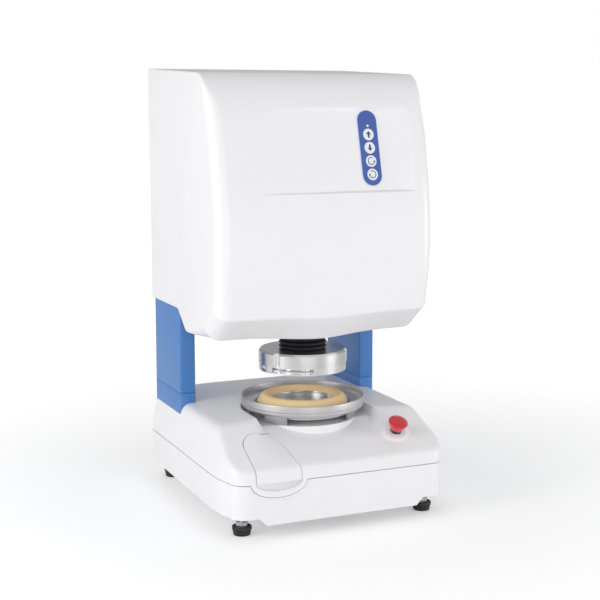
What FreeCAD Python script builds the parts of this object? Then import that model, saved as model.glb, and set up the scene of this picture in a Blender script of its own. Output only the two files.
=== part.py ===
"""Powder flow tester: bench instrument with a lifting lid over a turning annular trough.

Frame: +Z up, floor at z = 0, origin under the middle of the overall box.
The front faces -Y, and the viewer's right is +X. All sizes are millimetres.
"""
import FreeCAD, Part
import math
import os

V = FreeCAD.Vector
OUT = "parts"

# Overall driving sizes
BASE_WIDTH = 381.0
BASE_DEPTH = 398.0
HEAD_TOP_REAR = 715.5
SPINDLE_Y = -37.5
FRONT_Y = -BASE_DEPTH / 2
REAR_Y = BASE_DEPTH / 2
HEAD_INSET = 5.5
HEAD_HALF = BASE_WIDTH / 2 - HEAD_INSET

# Base: lower pan
PAN_BOTTOM = 32.0
PAN_TOP = 85.0
PAN_WALL = 4.0
PAN_FLOOR = 4.0
APRON_BOTTOM = 20.0
APRON_INSET = 61.5
APRON_HALF = BASE_WIDTH / 2 - APRON_INSET
SEAM = 1.2
LIP_WALL = 2.0
LIP_RISE = 7.0
LIP_ROOT = 6.0
SIDE_BEND_Y = -100.0
CORNER_START_Y = -174.0
CORNER_INSET = 9.5
FRONT_CORNER_INSET = 34.5
FRONT_STRAIGHT_HALF = BASE_WIDTH / 2 - FRONT_CORNER_INSET
REAR_CORNER_R = 8.0

# Base: upper cover
COVER_WALL = 3.5
COVER_LEAN = 15.0
DECK_Z = 162.0
DECK_FRONT_Y = -93.0
LIP_Z = 105.0
DECK_EDGE_R = 13.0
BROW_R = 6.0
LIP_R = 5.0
POCKET_HALF = 99.0
POCKET_Z = 147.2
POCKET_LIP_HALF = 42.0
VALLEY_INSET = 38.5
POCKET_LIP_SPREAD = BASE_WIDTH / 2 - VALLEY_INSET
COLLAR_R = 88.5
COLLAR_Z = 150.0
SHAFT_HOLE_R = 14.0

# Hatch on the front left of the cover
HATCH_INSET = 83.5
HATCH_X = HATCH_INSET - BASE_WIDTH / 2
HATCH_HALF = 38.0
HATCH_APEX_Y = -126.0
HATCH_GAP = 1.3
HATCH_SKIN = 2.8
TONGUE_MARGIN = 8.0
TONGUE_BOTTOM = 60.0
TONGUE_CORNER_R = 24.0
TONGUE_GAP = 1.0
TONGUE_DEPTH = 14.0
SCOOP_DEPTH = 13.0
HINGE_SINK = 1.4
HINGE_PIN_R = 0.7
HINGE_BARREL_R = 1.3
HINGE_MIDDLE = 5.0
HINGE_HALF = 12.0
WELL_WALL = 1.8
WELL_INSET = 3.0
WELL_FRONT_INSET = 22.0
WELL_CORNER_R = 8.0
WELL_RIB_X = 22.0
WELL_FLOOR_Z = 70.0
WELL_TOP_Z = 101.0

# Levelling feet
FOOT_INSET = 33.6
FOOT_FRONT_INSET = 34.8
FOOT_REAR_INSET = 17.5
FOOT_X = BASE_WIDTH / 2 - FOOT_INSET
FOOT_FRONT_Y = FRONT_Y + FOOT_FRONT_INSET
FOOT_REAR_Y = REAR_Y - FOOT_REAR_INSET
FOOT_R = 14.2
FOOT_TAPER = 0.8
FOOT_NECK = 1.0
FOOT_NECK_Z = 7.5
FOOT_RIM_Z = 8.8
FOOT_RIM_R = 15.4
FOOT_DISH_R = 12.0
FOOT_DISH = 2.5
FOOT_H = 14.0
FOOT_TRAVEL = 10.0
STUD_R = 4.0
STUD_TOP = 58.0
STUD_BOSS_R = 10.0
STUD_ROOT = 6.0
STUD_SHORT = 4.0
NUT_H = 9.0
NUT_FLATS = 17.0
FIT = 0.08
CLEAR = 0.3

# Columns
COLUMN_INSET = 5.2
COLUMN_WIDTH = 27.1
COLUMN_OUT = HEAD_HALF - COLUMN_INSET
COLUMN_IN = COLUMN_OUT - COLUMN_WIDTH
COLUMN_FRONT_Y = 61.8
COLUMN_WALL = 2.5
COLUMN_TOP = 333.0
COLUMN_EDGE_R = 3.0
BOOT_TOP = 175.5
BOOT_SEAM = 0.6
POST_THICK = 11.0
POST_GAP = 1.5
POST_FRONT_Y = 92.0
POST_REAR_Y = 168.0
POST_TOP = 660.0

# Head shell
HEAD_WALL = 3.0
HEAD_BOTTOM = 289.0
HEAD_REAR_BOTTOM = 320.6
HEAD_STEP_REAR_Y = 57.3
HEAD_STEP_FRONT_Y = 16.3
HEAD_CHAMFER_Y = -86.6
HEAD_CHIN_Y = -137.0
HEAD_CHIN_Z = 327.6
HEAD_BELLY_Y = -146.3
HEAD_BELLY_Z = 440.0
HEAD_SHOULDER_Y = -128.8
HEAD_SHOULDER_Z = 582.7
HEAD_BROW_Y = -96.0
HEAD_BROW_Z = 670.0
HEAD_TOP_FRONT_Y = -54.0
HEAD_TOP_FRONT_Z = 703.5
HEAD_CORNER_R = 17.0
CHIN_INSET = 91.0
CHIN_HALF = HEAD_HALF - CHIN_INSET
CHIN_DROP = 9.0
BACK_PANEL = 2.5
BACK_INSET = 2.0
LOUVRES = 10
LOUVRE_Z = 380.0
LOUVRE_PITCH = 14.0
LOUVRE_WIDTH = 5.0
LOUVRE_LENGTH = 80.0
LOUVRE_SPREAD = 30.0
PANEL_SCREW_R = 3.2
PANEL_SCREW_H = 1.6
PANEL_SCREW_INSET = 35.0
PANEL_SCREW_LOW = 360.0
PANEL_SCREW_DROP = 25.5

# Sunk panel in the front of the head
SUNK_BOTTOM = 505.0
SUNK_TOP = 650.0
SUNK_LEFT_INSET = 73.0
SUNK_RIGHT_INSET = 33.0
SUNK_LEFT = SUNK_LEFT_INSET - HEAD_HALF
SUNK_RIGHT = HEAD_HALF - SUNK_RIGHT_INSET
SUNK_FRONT_Y = HEAD_BELLY_Y + 2.0
SUNK_DEPTH = 11.0
SUNK_LEAN = 34.8
SUNK_CORNER_R = 6.0

# Keypad
PAD_INSET = 71.5
PAD_X = SUNK_RIGHT - PAD_INSET
PAD_Z = 586.5
PAD_WIDTH = 33.0
PAD_LENGTH = 120.0
PAD_THICK = 1.6
KEY_R = 9.3
KEY_PITCH = 21.3
KEY_FIRST = 34.05
KEY_THICK = 2.6
KEY_PROUD = 0.7
KEY_TRAVEL = 0.8
KEY_STEM = 3.0
KEY_STEM_R = 2.5
LED_R = 2.0
LED_UP = 35.2

# Cell: guard ring, turntable, tray, trough, powder
GUARD_R = 88.0
GUARD_WALL = 5.0
GUARD_TOP = 161.0
GUARD_WINDOW = 80.0
GUARD_SILL = 1.5
TABLE_R = 80.0
TABLE_TOP = 162.2
TABLE_THICK = 7.0
TABLE_HUB_R = 12.0
TABLE_HUB_H = 5.0
TRAY_R = 102.0
TRAY_RIM_Z = 184.7
TRAY_FLOOR = 2.8
TRAY_STEP_Z = 171.0
TRAY_STEP_R = 78.5
TRAY_WALL = 2.2
TROUGH_R = 76.2
TROUGH_WALL = 2.0
TROUGH_TOP = 175.5
TROUGH_IN_R = 51.8
TROUGH_IN_TOP = 180.4
POWDER_CROWN_Z = 183.6
POWDER_EDGE_Z = 174.8

# Lid and its spindle
LID_R = 72.5
LID_TOP = 259.0
LID_SPLIT = 236.4
LID_BOTTOM = 225.0
LID_EDGE = 3.2
LID_SKIRT = 4.5
SCALLOP_R = 8.0
SCALLOP_OUT = 3.5
SCALLOP_ANGLE = 31.0
WINDOW_LOW = 228.0
WINDOW_HIGH = 235.4
WIDE_WINDOW = 58.0
WIDE_WINDOW_AT = -38.0
SMALL_WINDOW = 19.0
SMALL_WINDOW_AT = -91.0
SKIRT_STEP = 0.7
VANES = 9
VANE_THICK = 1.6
BELLOWS_R = 39.6
BELLOWS_ROOT_R = 34.6
BELLOWS_WALL = 1.2
BELLOWS_TOP = 309.0
BELLOWS_FOLDS = 7
SHAFT_R = 10.0

# Lift drive in the head
RAIL_R = 6.0
RAIL_X = 45.0
RAIL_Y = 60.0
RAIL_BOTTOM = 331.0
RAIL_TOP = 606.0
BRACKET_THICK = 14.0
BRACKET_HALF = 70.0
BRACKET_FRONT_Y = 44.0
PLATE_Y = 120.0
PLATE_THICK = 6.0
SCREW_R = 6.0
SCREW_Y = 86.0
CARRIAGE_Z = 405.0
CARRIAGE_H = 46.0
CARRIAGE_HALF = 62.0
CARRIAGE_FORE = 16.0
CARRIAGE_AFT = 24.0
ARM_HALF = 26.0
ARM_H = 16.0
ARM_FORE = 24.0
RIB_X = 18.0
RIB_THICK = 8.0
RIB_H = 14.0
CELL_R = 22.0
CELL_H = 24.0
CELL_WEB_HALF = 9.0
CELL_SKIN = 6.0
SHAFT_NOSE = 8.0
SHAFT_STEP = 2.0
SHAFT_FLANGE_R = 16.0
SHAFT_FLANGE_H = 8.0
FRAME_RISE = 5.0
FRAME_DROP = 10.0
FRAME_FLANGE = 4.0
FRAME_FLANGE_DEPTH = 24.0
FRAME_HOLES = 3
FRAME_HOLE_R = 24.0
FRAME_HOLE_INSET = 46.7
FRAME_HOLE_Z = 400.0
FRAME_HOLE_PITCH = 80.0
NUT_R = 13.0
MOTOR_HALF = 28.5
MOTOR_Z = 634.0
MOTOR_H = 60.0
COUPLING_R = 10.0
MOTOR_SHAFT_R = 4.0
MOTOR_BORE_R = 14.0
MOTOR_STAND = 5.0
MOTOR_POST_R = 4.0

# Turntable drive in the base
GEAR_MODULE = 1.5
GEAR_TEETH = 60
PINION_TEETH = 15
GEAR_Z = 114.0
GEAR_FACE = 9.0
GEAR_BACKLASH = 0.25
GEAR_HOLES = 5
GEAR_HOLE_R = 9.0
GEAR_HOLES_AT = 28.0
DRIVE_PLATE_Z = 98.0
DRIVE_PLATE_THICK = 5.0
DRIVE_PLATE_HALF = 62.0
DRIVE_PLATE_REACH = 34.0
DRIVE_PLATE_SIDE = 50.0
STANDOFF_INSET = 8.0
TABLE_SHAFT_R = 9.0
TABLE_SHAFT_LOW = 84.0
SPIGOT_STEP = 2.0
BEARING_R = 16.0
BEARING_H = 8.0
STANDOFF_R = 5.0
PINION_SHAFT_R = 3.0
DRIVE_MOTOR_R = 18.0
DRIVE_MOTOR_H = 40.0

# Stop button on the front right
STOP_INSET = 76.0
STOP_X = BASE_WIDTH / 2 - STOP_INSET
STOP_Y = -150.8
STOP_BOSS_R = 21.0
STOP_BOSS_H = 3.0
STOP_COLLAR_R = 12.0
STOP_COLLAR_H = 1.0
STOP_HEAD_R = 16.0
STOP_HEAD_H = 15.5
STOP_NECK_R = 10.4
STOP_SOCKET = 7.0
STOP_GAP = 0.5
STOP_TRAVEL = 4.0
STOP_STEM_R = 5.0
STOP_BODY_HALF = 15.0
STOP_BODY_H = 30.0
STOP_BODY_DROP = 12.0
STOP_TUBE_R = 7.7

# Service panel at the rear of the pan
SERVICE_INSET = 95.5
SERVICE_X = BASE_WIDTH / 2 - SERVICE_INSET
SERVICE_Z = 58.0
SERVICE_HALF = 44.0
SERVICE_H = 34.0
SERVICE_PLATE = 2.5
SERVICE_LAP = 4.0
INLET_ASIDE = 20.0
INLET_X = SERVICE_X + INLET_ASIDE
INLET_HALF = 14.0
INLET_H = 20.0
INLET_DEPTH = 22.0
SOCKET_HALF = 11.5
SOCKET_H = 14.0
SOCKET_DEPTH = 16.0
PIN_SPREAD = 7.0
ROCKER_ASIDE = 8.0
ROCKER_X = SERVICE_X - ROCKER_ASIDE
ROCKER_HALF = 6.0
ROCKER_H = 17.0
ROCKER_TILT = 8.0
ROCKER_AXLE_R = 1.5
ROCKER_SINK = 3.5
ROCKER_CASE_WALL = 1.5
ROCKER_CASE_DEPTH = 12.0
VENT_INSET = 40.5
VENT_X = VENT_INSET - BASE_WIDTH / 2
VENT_COUNT = 12
VENT_PITCH = 9.0
VENT_WIDTH = 3.0
VENT_HEIGHT = 24.0


def box(x0, x1, y0, y1, z0, z1):
    return Part.makeBox(x1 - x0, y1 - y0, z1 - z0, V(x0, y0, z0))


def cyl(r, z0, z1, x=0.0, y=SPINDLE_Y):
    return Part.makeCylinder(r, z1 - z0, V(x, y, z0))


def ring(r_out, r_in, z0, z1, x=0.0, y=SPINDLE_Y):
    return cyl(r_out, z0, z1, x, y).cut(cyl(r_in, z0 - 1, z1 + 1, x, y))


def prism(points, direction):
    """A solid from a closed outline of straight runs, pushed along a vector."""
    return Part.Face(Part.makePolygon(points + [points[0]])).extrude(direction)


def turned(outline, y=SPINDLE_Y):
    """A full revolve about the spindle of an outline given as (radius, z)."""
    points = [V(r, y, z) for r, z in outline]
    face = Part.Face(Part.makePolygon(points + [points[0]]))
    return face.revolve(V(0, y, 0), V(0, 0, 1), 360)


def arc(a, b, c):
    return Part.Arc(a, b, c).toShape()


def line(a, b):
    return Part.LineSegment(a, b).toShape()


def outline(corners):
    """A closed wire of straight runs whose corners are rounded by tangent arcs."""
    n = len(corners)
    ends = []
    for i in range(n):
        p, r = corners[i]
        before = (corners[i - 1][0] - p).normalize()
        after = (corners[(i + 1) % n][0] - p).normalize()
        if r <= 0:
            ends.append((p, None, p))
            continue
        half = before.getAngle(after) / 2
        reach = r / math.tan(half)
        middle = (before + after).normalize()
        bulge = p + middle * (r / math.sin(half) - r)
        ends.append((p + before * reach, bulge, p + after * reach))
    edges = []
    for i in range(n):
        start, bulge, stop = ends[i]
        if bulge is not None:
            edges.append(arc(start, bulge, stop))
        edges.append(line(stop, ends[(i + 1) % n][0]))
    return Part.Wire(edges)


def one(shape):
    """The same shape with needless seams between its faces removed."""
    return shape.removeSplitter()


def save(name, shape):
    shape.exportStep(os.path.join(OUT, name + ".step"))


def plan_wire(half, z, inset=0.0):
    """The base seen from above: straight sides that bow into soft front corners."""
    k = half / (BASE_WIDTH / 2)
    side = half - inset
    front = FRONT_Y + inset
    rear = REAR_Y - inset
    bend = (side - CORNER_INSET * k, CORNER_START_Y + inset * 0.3)
    bow = (side - CORNER_INSET * k * 0.27, (SIDE_BEND_Y + bend[1]) / 2 - 4)
    flat = FRONT_STRAIGHT_HALF * k - inset * 0.4
    knee = (bend[0] - (bend[0] - flat) * 0.26, front + (bend[1] - front) * 0.34)
    r = REAR_CORNER_R
    m = r * (1 - math.sqrt(0.5))
    runs = []
    for s in (-1, 1):
        runs.append([
            arc(V(s * side, SIDE_BEND_Y, z), V(s * bow[0], bow[1], z), V(s * bend[0], bend[1], z)),
            arc(V(s * bend[0], bend[1], z), V(s * knee[0], knee[1], z), V(s * flat, front, z)),
            line(V(s * side, SIDE_BEND_Y, z), V(s * side, rear - r, z)),
            arc(V(s * side, rear - r, z), V(s * (side - m), rear - m, z), V(s * (side - r), rear, z)),
        ])
    left, right = runs
    edges = [left[3], left[2], left[0], left[1]]
    edges.append(line(V(-flat, front, z), V(flat, front, z)))
    edges += [right[1], right[0], right[2], right[3]]
    edges.append(line(V(side - r, rear, z), V(r - side, rear, z)))
    return Part.Wire(Part.__sortEdges__(edges))


def plan_prism(z0, z1, inset=0.0):
    return Part.Face(plan_wire(BASE_WIDTH / 2, z0, inset)).extrude(V(0, 0, z1 - z0))


def wall_band(z0, z1, inset, wall):
    return plan_prism(z0, z1, inset).cut(plan_prism(z0 - 1, z1 + 1, inset + wall))


def lean_half(z):
    """Half the cover's width at a height, because its sides lean inwards."""
    return BASE_WIDTH / 2 - COVER_LEAN * (z - PAN_TOP - SEAM) / (DECK_Z - PAN_TOP - SEAM)


def slope_z(y):
    """Height of the sloping front of the cover outside the middle valley."""
    return DECK_Z + (y - DECK_FRONT_Y) * (DECK_Z - LIP_Z) / (DECK_FRONT_Y - FRONT_Y)


SLOPE = math.atan2(DECK_Z - LIP_Z, DECK_FRONT_Y - FRONT_Y)
SLOPE_NORMAL = V(0, -math.sin(SLOPE), math.cos(SLOPE))


def cover_block(inset):
    """The cover as a filled body, drawn in by a wall thickness."""
    low = PAN_TOP + SEAM
    top = DECK_Z - inset
    sill = BASE_WIDTH / 2 - inset
    brow_half = lean_half(top) - inset
    far = BASE_WIDTH
    across = outline([(V(-sill, -far, low), 0), (V(-brow_half, -far, top), DECK_EDGE_R - inset),
                      (V(brow_half, -far, top), DECK_EDGE_R - inset), (V(sill, -far, low), 0)])
    drop = inset / math.cos(SLOPE)
    front = FRONT_Y + inset
    lip = slope_z(front) - drop
    brow = DECK_FRONT_Y + (drop - inset) / math.tan(SLOPE)
    along = outline([(V(-far, REAR_Y + 5, low), 0), (V(-far, REAR_Y + 5, top), 0),
                     (V(-far, brow, top), BROW_R), (V(-far, front, lip), LIP_R), (V(-far, front, low), 0)])
    body = plan_prism(low, DECK_Z + 1, inset)
    body = body.common(Part.Face(across).extrude(V(0, 2 * far, 0)))
    return body.common(Part.Face(along).extrude(V(2 * far, 0, 0)))


def pocket_tool(grow):
    """What the round well and the valley in front of it take out of the cover."""
    half = POCKET_HALF + grow
    floor = POCKET_Z - grow
    top = DECK_Z + 20
    well = cyl(half, floor, top)
    well = well.fuse(box(-half, half, DECK_FRONT_Y, SPINDLE_Y, floor, top))
    low_half = POCKET_LIP_HALF + grow
    spread = POCKET_LIP_SPREAD + grow
    end_y = FRONT_Y - 1
    end_z = slope_z(end_y) - grow
    rear = Part.makePolygon([V(-half, DECK_FRONT_Y, floor), V(half, DECK_FRONT_Y, floor),
                             V(half + 1, DECK_FRONT_Y, top), V(-half - 1, DECK_FRONT_Y, top),
                             V(-half, DECK_FRONT_Y, floor)])
    fore = Part.makePolygon([V(-low_half, end_y, end_z), V(low_half, end_y, end_z),
                             V(spread, end_y, end_z + 5), V(-spread, end_y, end_z + 5),
                             V(-low_half, end_y, end_z)])
    valley = Part.makeLoft([rear, fore], True, True)
    return well.fuse(valley)


def hatch_plan(grow, z0, z1):
    """Vertical column over the hatch: round at the back, open through the front face."""
    half = HATCH_HALF + grow
    centre = HATCH_APEX_Y - HATCH_HALF
    column = cyl(half, z0, z1, HATCH_X, centre)
    return column.fuse(box(HATCH_X - half, HATCH_X + half, FRONT_Y - 5, centre, z0, z1))


def tongue_prism(grow, depth):
    """The rounded tongue below the parting line, pushed through the front wall."""
    half = HATCH_HALF + TONGUE_MARGIN + grow
    low = TONGUE_BOTTOM - grow
    r = TONGUE_CORNER_R + grow
    body = box(HATCH_X - half, HATCH_X + half, FRONT_Y - 5, FRONT_Y + depth, low, PAN_TOP + SEAM)
    edges = [e for e in body.Edges if e.BoundBox.ZMax < low + 0.1 and e.BoundBox.YLength > 1]
    return body.makeFillet(r, edges)


def scoop_tool():
    """Finger scoop below the hatch: a segment of a circle through the tongue."""
    chord = HATCH_HALF
    radius = (chord ** 2 + SCOOP_DEPTH ** 2) / (2 * SCOOP_DEPTH)
    centre_z = PAN_TOP - SCOOP_DEPTH + radius
    disc = Part.makeCylinder(radius, 30, V(HATCH_X, FRONT_Y - 5, centre_z), V(0, 1, 0))
    return disc.common(box(HATCH_X - chord, HATCH_X + chord, FRONT_Y - 6, FRONT_Y + 30, 0, PAN_TOP + 1))


def slope_frame(x, y):
    """Point on the slope and the placement that lays local +Z along the slope's normal."""
    point = V(x, y, slope_z(y))
    return FreeCAD.Placement(point, FreeCAD.Rotation(V(0, 0, 1), SLOPE_NORMAL))


def placed(shape, placement):
    shape.Placement = placement.multiply(shape.Placement)
    return shape


def make_pan():
    band = wall_band(PAN_BOTTOM, PAN_TOP, 0, PAN_WALL)
    drop = PAN_BOTTOM - APRON_BOTTOM
    face = [V(-APRON_HALF, FRONT_Y - 2, APRON_BOTTOM), V(APRON_HALF, FRONT_Y - 2, APRON_BOTTOM),
            V(APRON_HALF + drop, FRONT_Y - 2, PAN_BOTTOM), V(-APRON_HALF - drop, FRONT_Y - 2, PAN_BOTTOM)]
    apron = wall_band(APRON_BOTTOM, PAN_BOTTOM, 0, PAN_WALL).common(prism(face, V(0, PAN_WALL + 2, 0)))
    floor = plan_prism(PAN_BOTTOM, PAN_BOTTOM + PAN_FLOOR, PAN_WALL / 2)
    lip_inset = COVER_WALL + CLEAR + BASE_WIDTH / 2 - lean_half(PAN_TOP + LIP_RISE)
    lip = wall_band(PAN_TOP - LIP_ROOT, PAN_TOP + LIP_RISE, lip_inset, LIP_WALL)
    shelf_wall = lip_inset + LIP_WALL - PAN_WALL / 2
    shelf = wall_band(PAN_TOP - LIP_ROOT, PAN_TOP - LIP_ROOT / 2, PAN_WALL / 2, shelf_wall)
    pan = band.fuse([apron, floor, lip, shelf])
    pan = pan.cut(tongue_prism(TONGUE_GAP, TONGUE_DEPTH))
    for x, y in FEET:
        pan = pan.fuse(cyl(STUD_BOSS_R, PAN_BOTTOM + PAN_FLOOR, STUD_TOP - FOOT_TRAVEL, x, y))
        pan = pan.cut(cyl(STUD_R + FIT, PAN_BOTTOM - 1, STUD_TOP, x, y))
    recess = box(SERVICE_X - SERVICE_HALF, SERVICE_X + SERVICE_HALF, REAR_Y - PAN_WALL - 1, REAR_Y + 1,
                 SERVICE_Z - SERVICE_H / 2, SERVICE_Z + SERVICE_H / 2)
    for i in range(VENT_COUNT):
        x0 = VENT_X + VENT_PITCH * i
        recess = recess.fuse(box(x0, x0 + VENT_WIDTH, REAR_Y - PAN_WALL - 1, REAR_Y + 1,
                                 SERVICE_Z - VENT_HEIGHT / 2, SERVICE_Z + VENT_HEIGHT / 2))
    return one(pan.cut(recess))


FEET = [(sx * FOOT_X, y) for y in (FOOT_FRONT_Y, FOOT_REAR_Y) for sx in (-1, 1)]


def column_box(side, grow, z0, z1):
    x0, x1 = COLUMN_IN - grow, COLUMN_OUT + grow
    body = box(x0, x1, COLUMN_FRONT_Y - grow, REAR_Y, z0, z1)
    if grow >= 0:
        edges = [e for e in body.Edges if e.BoundBox.ZLength > 1 and e.BoundBox.YMax < 100]
        body = body.makeFillet(COLUMN_EDGE_R, edges)
    if side < 0:
        body = body.mirror(V(0, 0, 0), V(1, 0, 0))
    return body


def column_tube(side, z0, z1):
    hollow = box(COLUMN_IN + COLUMN_WALL, COLUMN_OUT - COLUMN_WALL, COLUMN_FRONT_Y + COLUMN_WALL,
                 REAR_Y - COLUMN_WALL, z0 - 1, z1 + 1)
    if side < 0:
        hollow = hollow.mirror(V(0, 0, 0), V(1, 0, 0))
    return column_box(side, 0, z0, z1).cut(hollow)


def post_box(side, grow, z0, z1):
    x0 = COLUMN_IN + COLUMN_WALL + POST_GAP
    body = box(x0 - grow, x0 + POST_THICK + grow, POST_FRONT_Y - grow, POST_REAR_Y + grow, z0, z1)
    if side < 0:
        body = body.mirror(V(0, 0, 0), V(1, 0, 0))
    return body


def make_cover_parts():
    """The upper cover, the hatch flap cut from the same skin, and the blue boots on the deck."""
    block = cover_block(0)
    outer = block.cut(pocket_tool(0))
    outer = outer.fuse(cyl(COLLAR_R, PAN_TOP + SEAM, COLLAR_Z).common(block))
    cavity = cover_block(COVER_WALL).cut(pocket_tool(COVER_WALL))
    cavity = cavity.fuse(plan_prism(PAN_TOP + SEAM - 1, PAN_TOP + SEAM + 0.5, COVER_WALL))
    under = cyl(COLLAR_R - COVER_WALL, PAN_TOP, COLLAR_Z - COVER_WALL).common(cover_block(COVER_WALL))
    cavity = cavity.fuse(under)
    skin = one(outer.cut(cavity))
    flap = skin.common(hatch_plan(0, PAN_TOP + 0.5, DECK_Z))
    thin = cover_block(HATCH_SKIN).cut(pocket_tool(HATCH_SKIN))
    flap = one(flap.cut(thin))
    cover = skin.cut(hatch_plan(HATCH_GAP, PAN_TOP + SEAM - 2, DECK_Z))
    plate = tongue_prism(0, TONGUE_DEPTH)
    tongue = wall_band(TONGUE_BOTTOM - 5, PAN_TOP + 0.5, 0, COVER_WALL).common(plate)
    rim = wall_band(PAN_TOP - 3, PAN_TOP + SEAM + 6, COVER_WALL - 0.5, 2.5).common(plate)
    tongue = tongue.fuse(rim)
    joints = []
    for s in (-1, 1):
        x0 = HATCH_X + s * (HATCH_HALF + HATCH_GAP)
        x1 = HATCH_X + s * (HATCH_HALF + TONGUE_MARGIN)
        lo, hi = min(x0, x1), max(x0, x1)
        joints.append(wall_band(PAN_TOP - 4, PAN_TOP + SEAM + 8, 0, COVER_WALL).common(
            box(lo, hi, FRONT_Y - 5, FRONT_Y + 30, PAN_TOP - 4, PAN_TOP + SEAM + 8)))
    cover = cover.fuse([tongue] + joints)
    cover = cover.cut(scoop_tool())
    cover = cover.cut(cyl(SHAFT_HOLE_R, 100, DECK_Z))
    for side in (-1, 1):
        cover = cover.cut(post_box(side, 1.0, 100, DECK_Z + 5))
    frame = slope_frame(STOP_X, STOP_Y)
    boss = placed(Part.makeCone(STOP_BOSS_R, STOP_BOSS_R - 2.5, STOP_BOSS_H + 3, V(0, 0, -3)), frame)
    cover = cover.fuse(boss.cut(cavity))
    cover = cover.cut(placed(Part.makeCylinder(STOP_TUBE_R + CLEAR, 30, V(0, 0, -20)), frame))
    boots = []
    for side in (-1, 1):
        boots.append(one(column_tube(side, PAN_TOP + 40, BOOT_TOP).cut(block)))
    return one(cover), flap, boots


def profile_points(inset):
    """Side outline of the head as listed corners, drawn in by a wall thickness."""
    return {
        "rear_low": V(0, REAR_Y, HEAD_REAR_BOTTOM + inset),
        "step_rear": V(0, HEAD_STEP_REAR_Y - inset * 0.4, HEAD_REAR_BOTTOM + inset),
        "step_front": V(0, HEAD_STEP_FRONT_Y - inset * 0.4, HEAD_BOTTOM + inset),
        "chamfer": V(0, HEAD_CHAMFER_Y + inset * 0.4, HEAD_BOTTOM + inset),
        "chin": V(0, HEAD_CHIN_Y + inset, HEAD_CHIN_Z + inset * 0.4),
        "belly": V(0, HEAD_BELLY_Y + inset, HEAD_BELLY_Z),
        "shoulder": V(0, HEAD_SHOULDER_Y + inset * 0.96, HEAD_SHOULDER_Z - inset * 0.3),
        "brow": V(0, HEAD_BROW_Y + inset * 0.86, HEAD_BROW_Z - inset * 0.5),
        "top_front": V(0, HEAD_TOP_FRONT_Y, HEAD_TOP_FRONT_Z - inset),
        "top_rear": V(0, REAR_Y, HEAD_TOP_REAR - inset),
    }


def head_block(inset):
    """The head as a filled body with a bellied front and softened side edges."""
    p = profile_points(inset)
    half = HEAD_HALF - inset
    front = Part.BSplineCurve()
    front.interpolate([p["chin"], p["belly"], p["shoulder"], p["brow"], p["top_front"]],
                      InitialTangent=V(0, -0.12, 1), FinalTangent=V(0, 1, 0.06))
    edges = [
        line(p["rear_low"], p["step_rear"]), line(p["step_rear"], p["step_front"]),
        line(p["step_front"], p["chamfer"]), line(p["chamfer"], p["chin"]), front.toShape(),
        line(p["top_front"], p["top_rear"]), line(p["top_rear"], p["rear_low"]),
    ]
    face = Part.Face(Part.Wire(edges))
    face.translate(V(-half, 0, 0))
    body = face.extrude(V(2 * half, 0, 0))
    soft = []
    for e in body.Edges:
        b = e.BoundBox
        if b.XLength < 0.1 and b.YMin < HEAD_TOP_FRONT_Y - 5 and b.ZMin > HEAD_CHIN_Z - 5:
            soft.append(e)
        if b.XLength < 0.1 and b.ZMin > HEAD_TOP_FRONT_Z - inset - 2 and b.YLength > 100:
            soft.append(e)
    body = body.makeFillet(HEAD_CORNER_R - inset, soft)
    return body


def sunk_plane_y(x, z):
    """Depth of the sunk panel's flat floor, which dies out into the shell at the left."""
    across = (x - SUNK_LEFT) / (SUNK_RIGHT - SUNK_LEFT)
    up = (z - SUNK_BOTTOM) / (SUNK_TOP - SUNK_BOTTOM)
    return SUNK_FRONT_Y + SUNK_DEPTH * across + SUNK_LEAN * up


def sunk_tool(grow):
    """What the sunk panel takes out of the head's front."""
    z0, z1 = SUNK_BOTTOM - grow, SUNK_TOP + grow
    x0, x1 = SUNK_LEFT - grow, SUNK_RIGHT + grow
    slab = box(x0, x1, 1.5 * HEAD_BELLY_Y, HEAD_TOP_FRONT_Y, z0, z1)
    edges = [e for e in slab.Edges if e.BoundBox.YLength > SUNK_LEAN and e.BoundBox.XMin > x1 - 1]
    slab = slab.makeFillet(SUNK_CORNER_R + grow, edges)
    corners = ((x0 - 1, z0 - 1), (x1 + 1, z0 - 1), (x1 + 1, z1 + 1), (x0 - 1, z1 + 1))
    floor = [V(x, sunk_plane_y(x, z) + grow, z) for x, z in corners]
    return slab.common(prism(floor, V(0, 2 * HEAD_BELLY_Y, 0)))


def pad_frame():
    """Placement of the keypad: local X across, local Y up the face, local Z outwards."""
    centre = V(PAD_X, sunk_plane_y(PAD_X, PAD_Z), PAD_Z)
    right = V(1, sunk_plane_y(PAD_X + 1, PAD_Z) - centre.y, 0)
    up = V(0, sunk_plane_y(PAD_X, PAD_Z + 1) - centre.y, 1)
    right.normalize()
    out = right.cross(up)
    out.normalize()
    up = out.cross(right)
    m = FreeCAD.Matrix(right.x, up.x, out.x, centre.x, right.y, up.y, out.y, centre.y,
                       right.z, up.z, out.z, centre.z, 0, 0, 0, 1)
    return FreeCAD.Placement(m)


def stadium(width, length, z0, z1):
    r = width / 2
    body = Part.makeBox(width, length - width, z1 - z0, V(-r, -(length - width) / 2, z0))
    for s in (-1, 1):
        body = body.fuse(Part.makeCylinder(r, z1 - z0, V(0, s * (length - width) / 2, z0)))
    return one(body)


def key_centres():
    first = PAD_LENGTH / 2 - KEY_FIRST - KEY_R / 2
    return [first - KEY_PITCH * i for i in range(4)]


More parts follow.
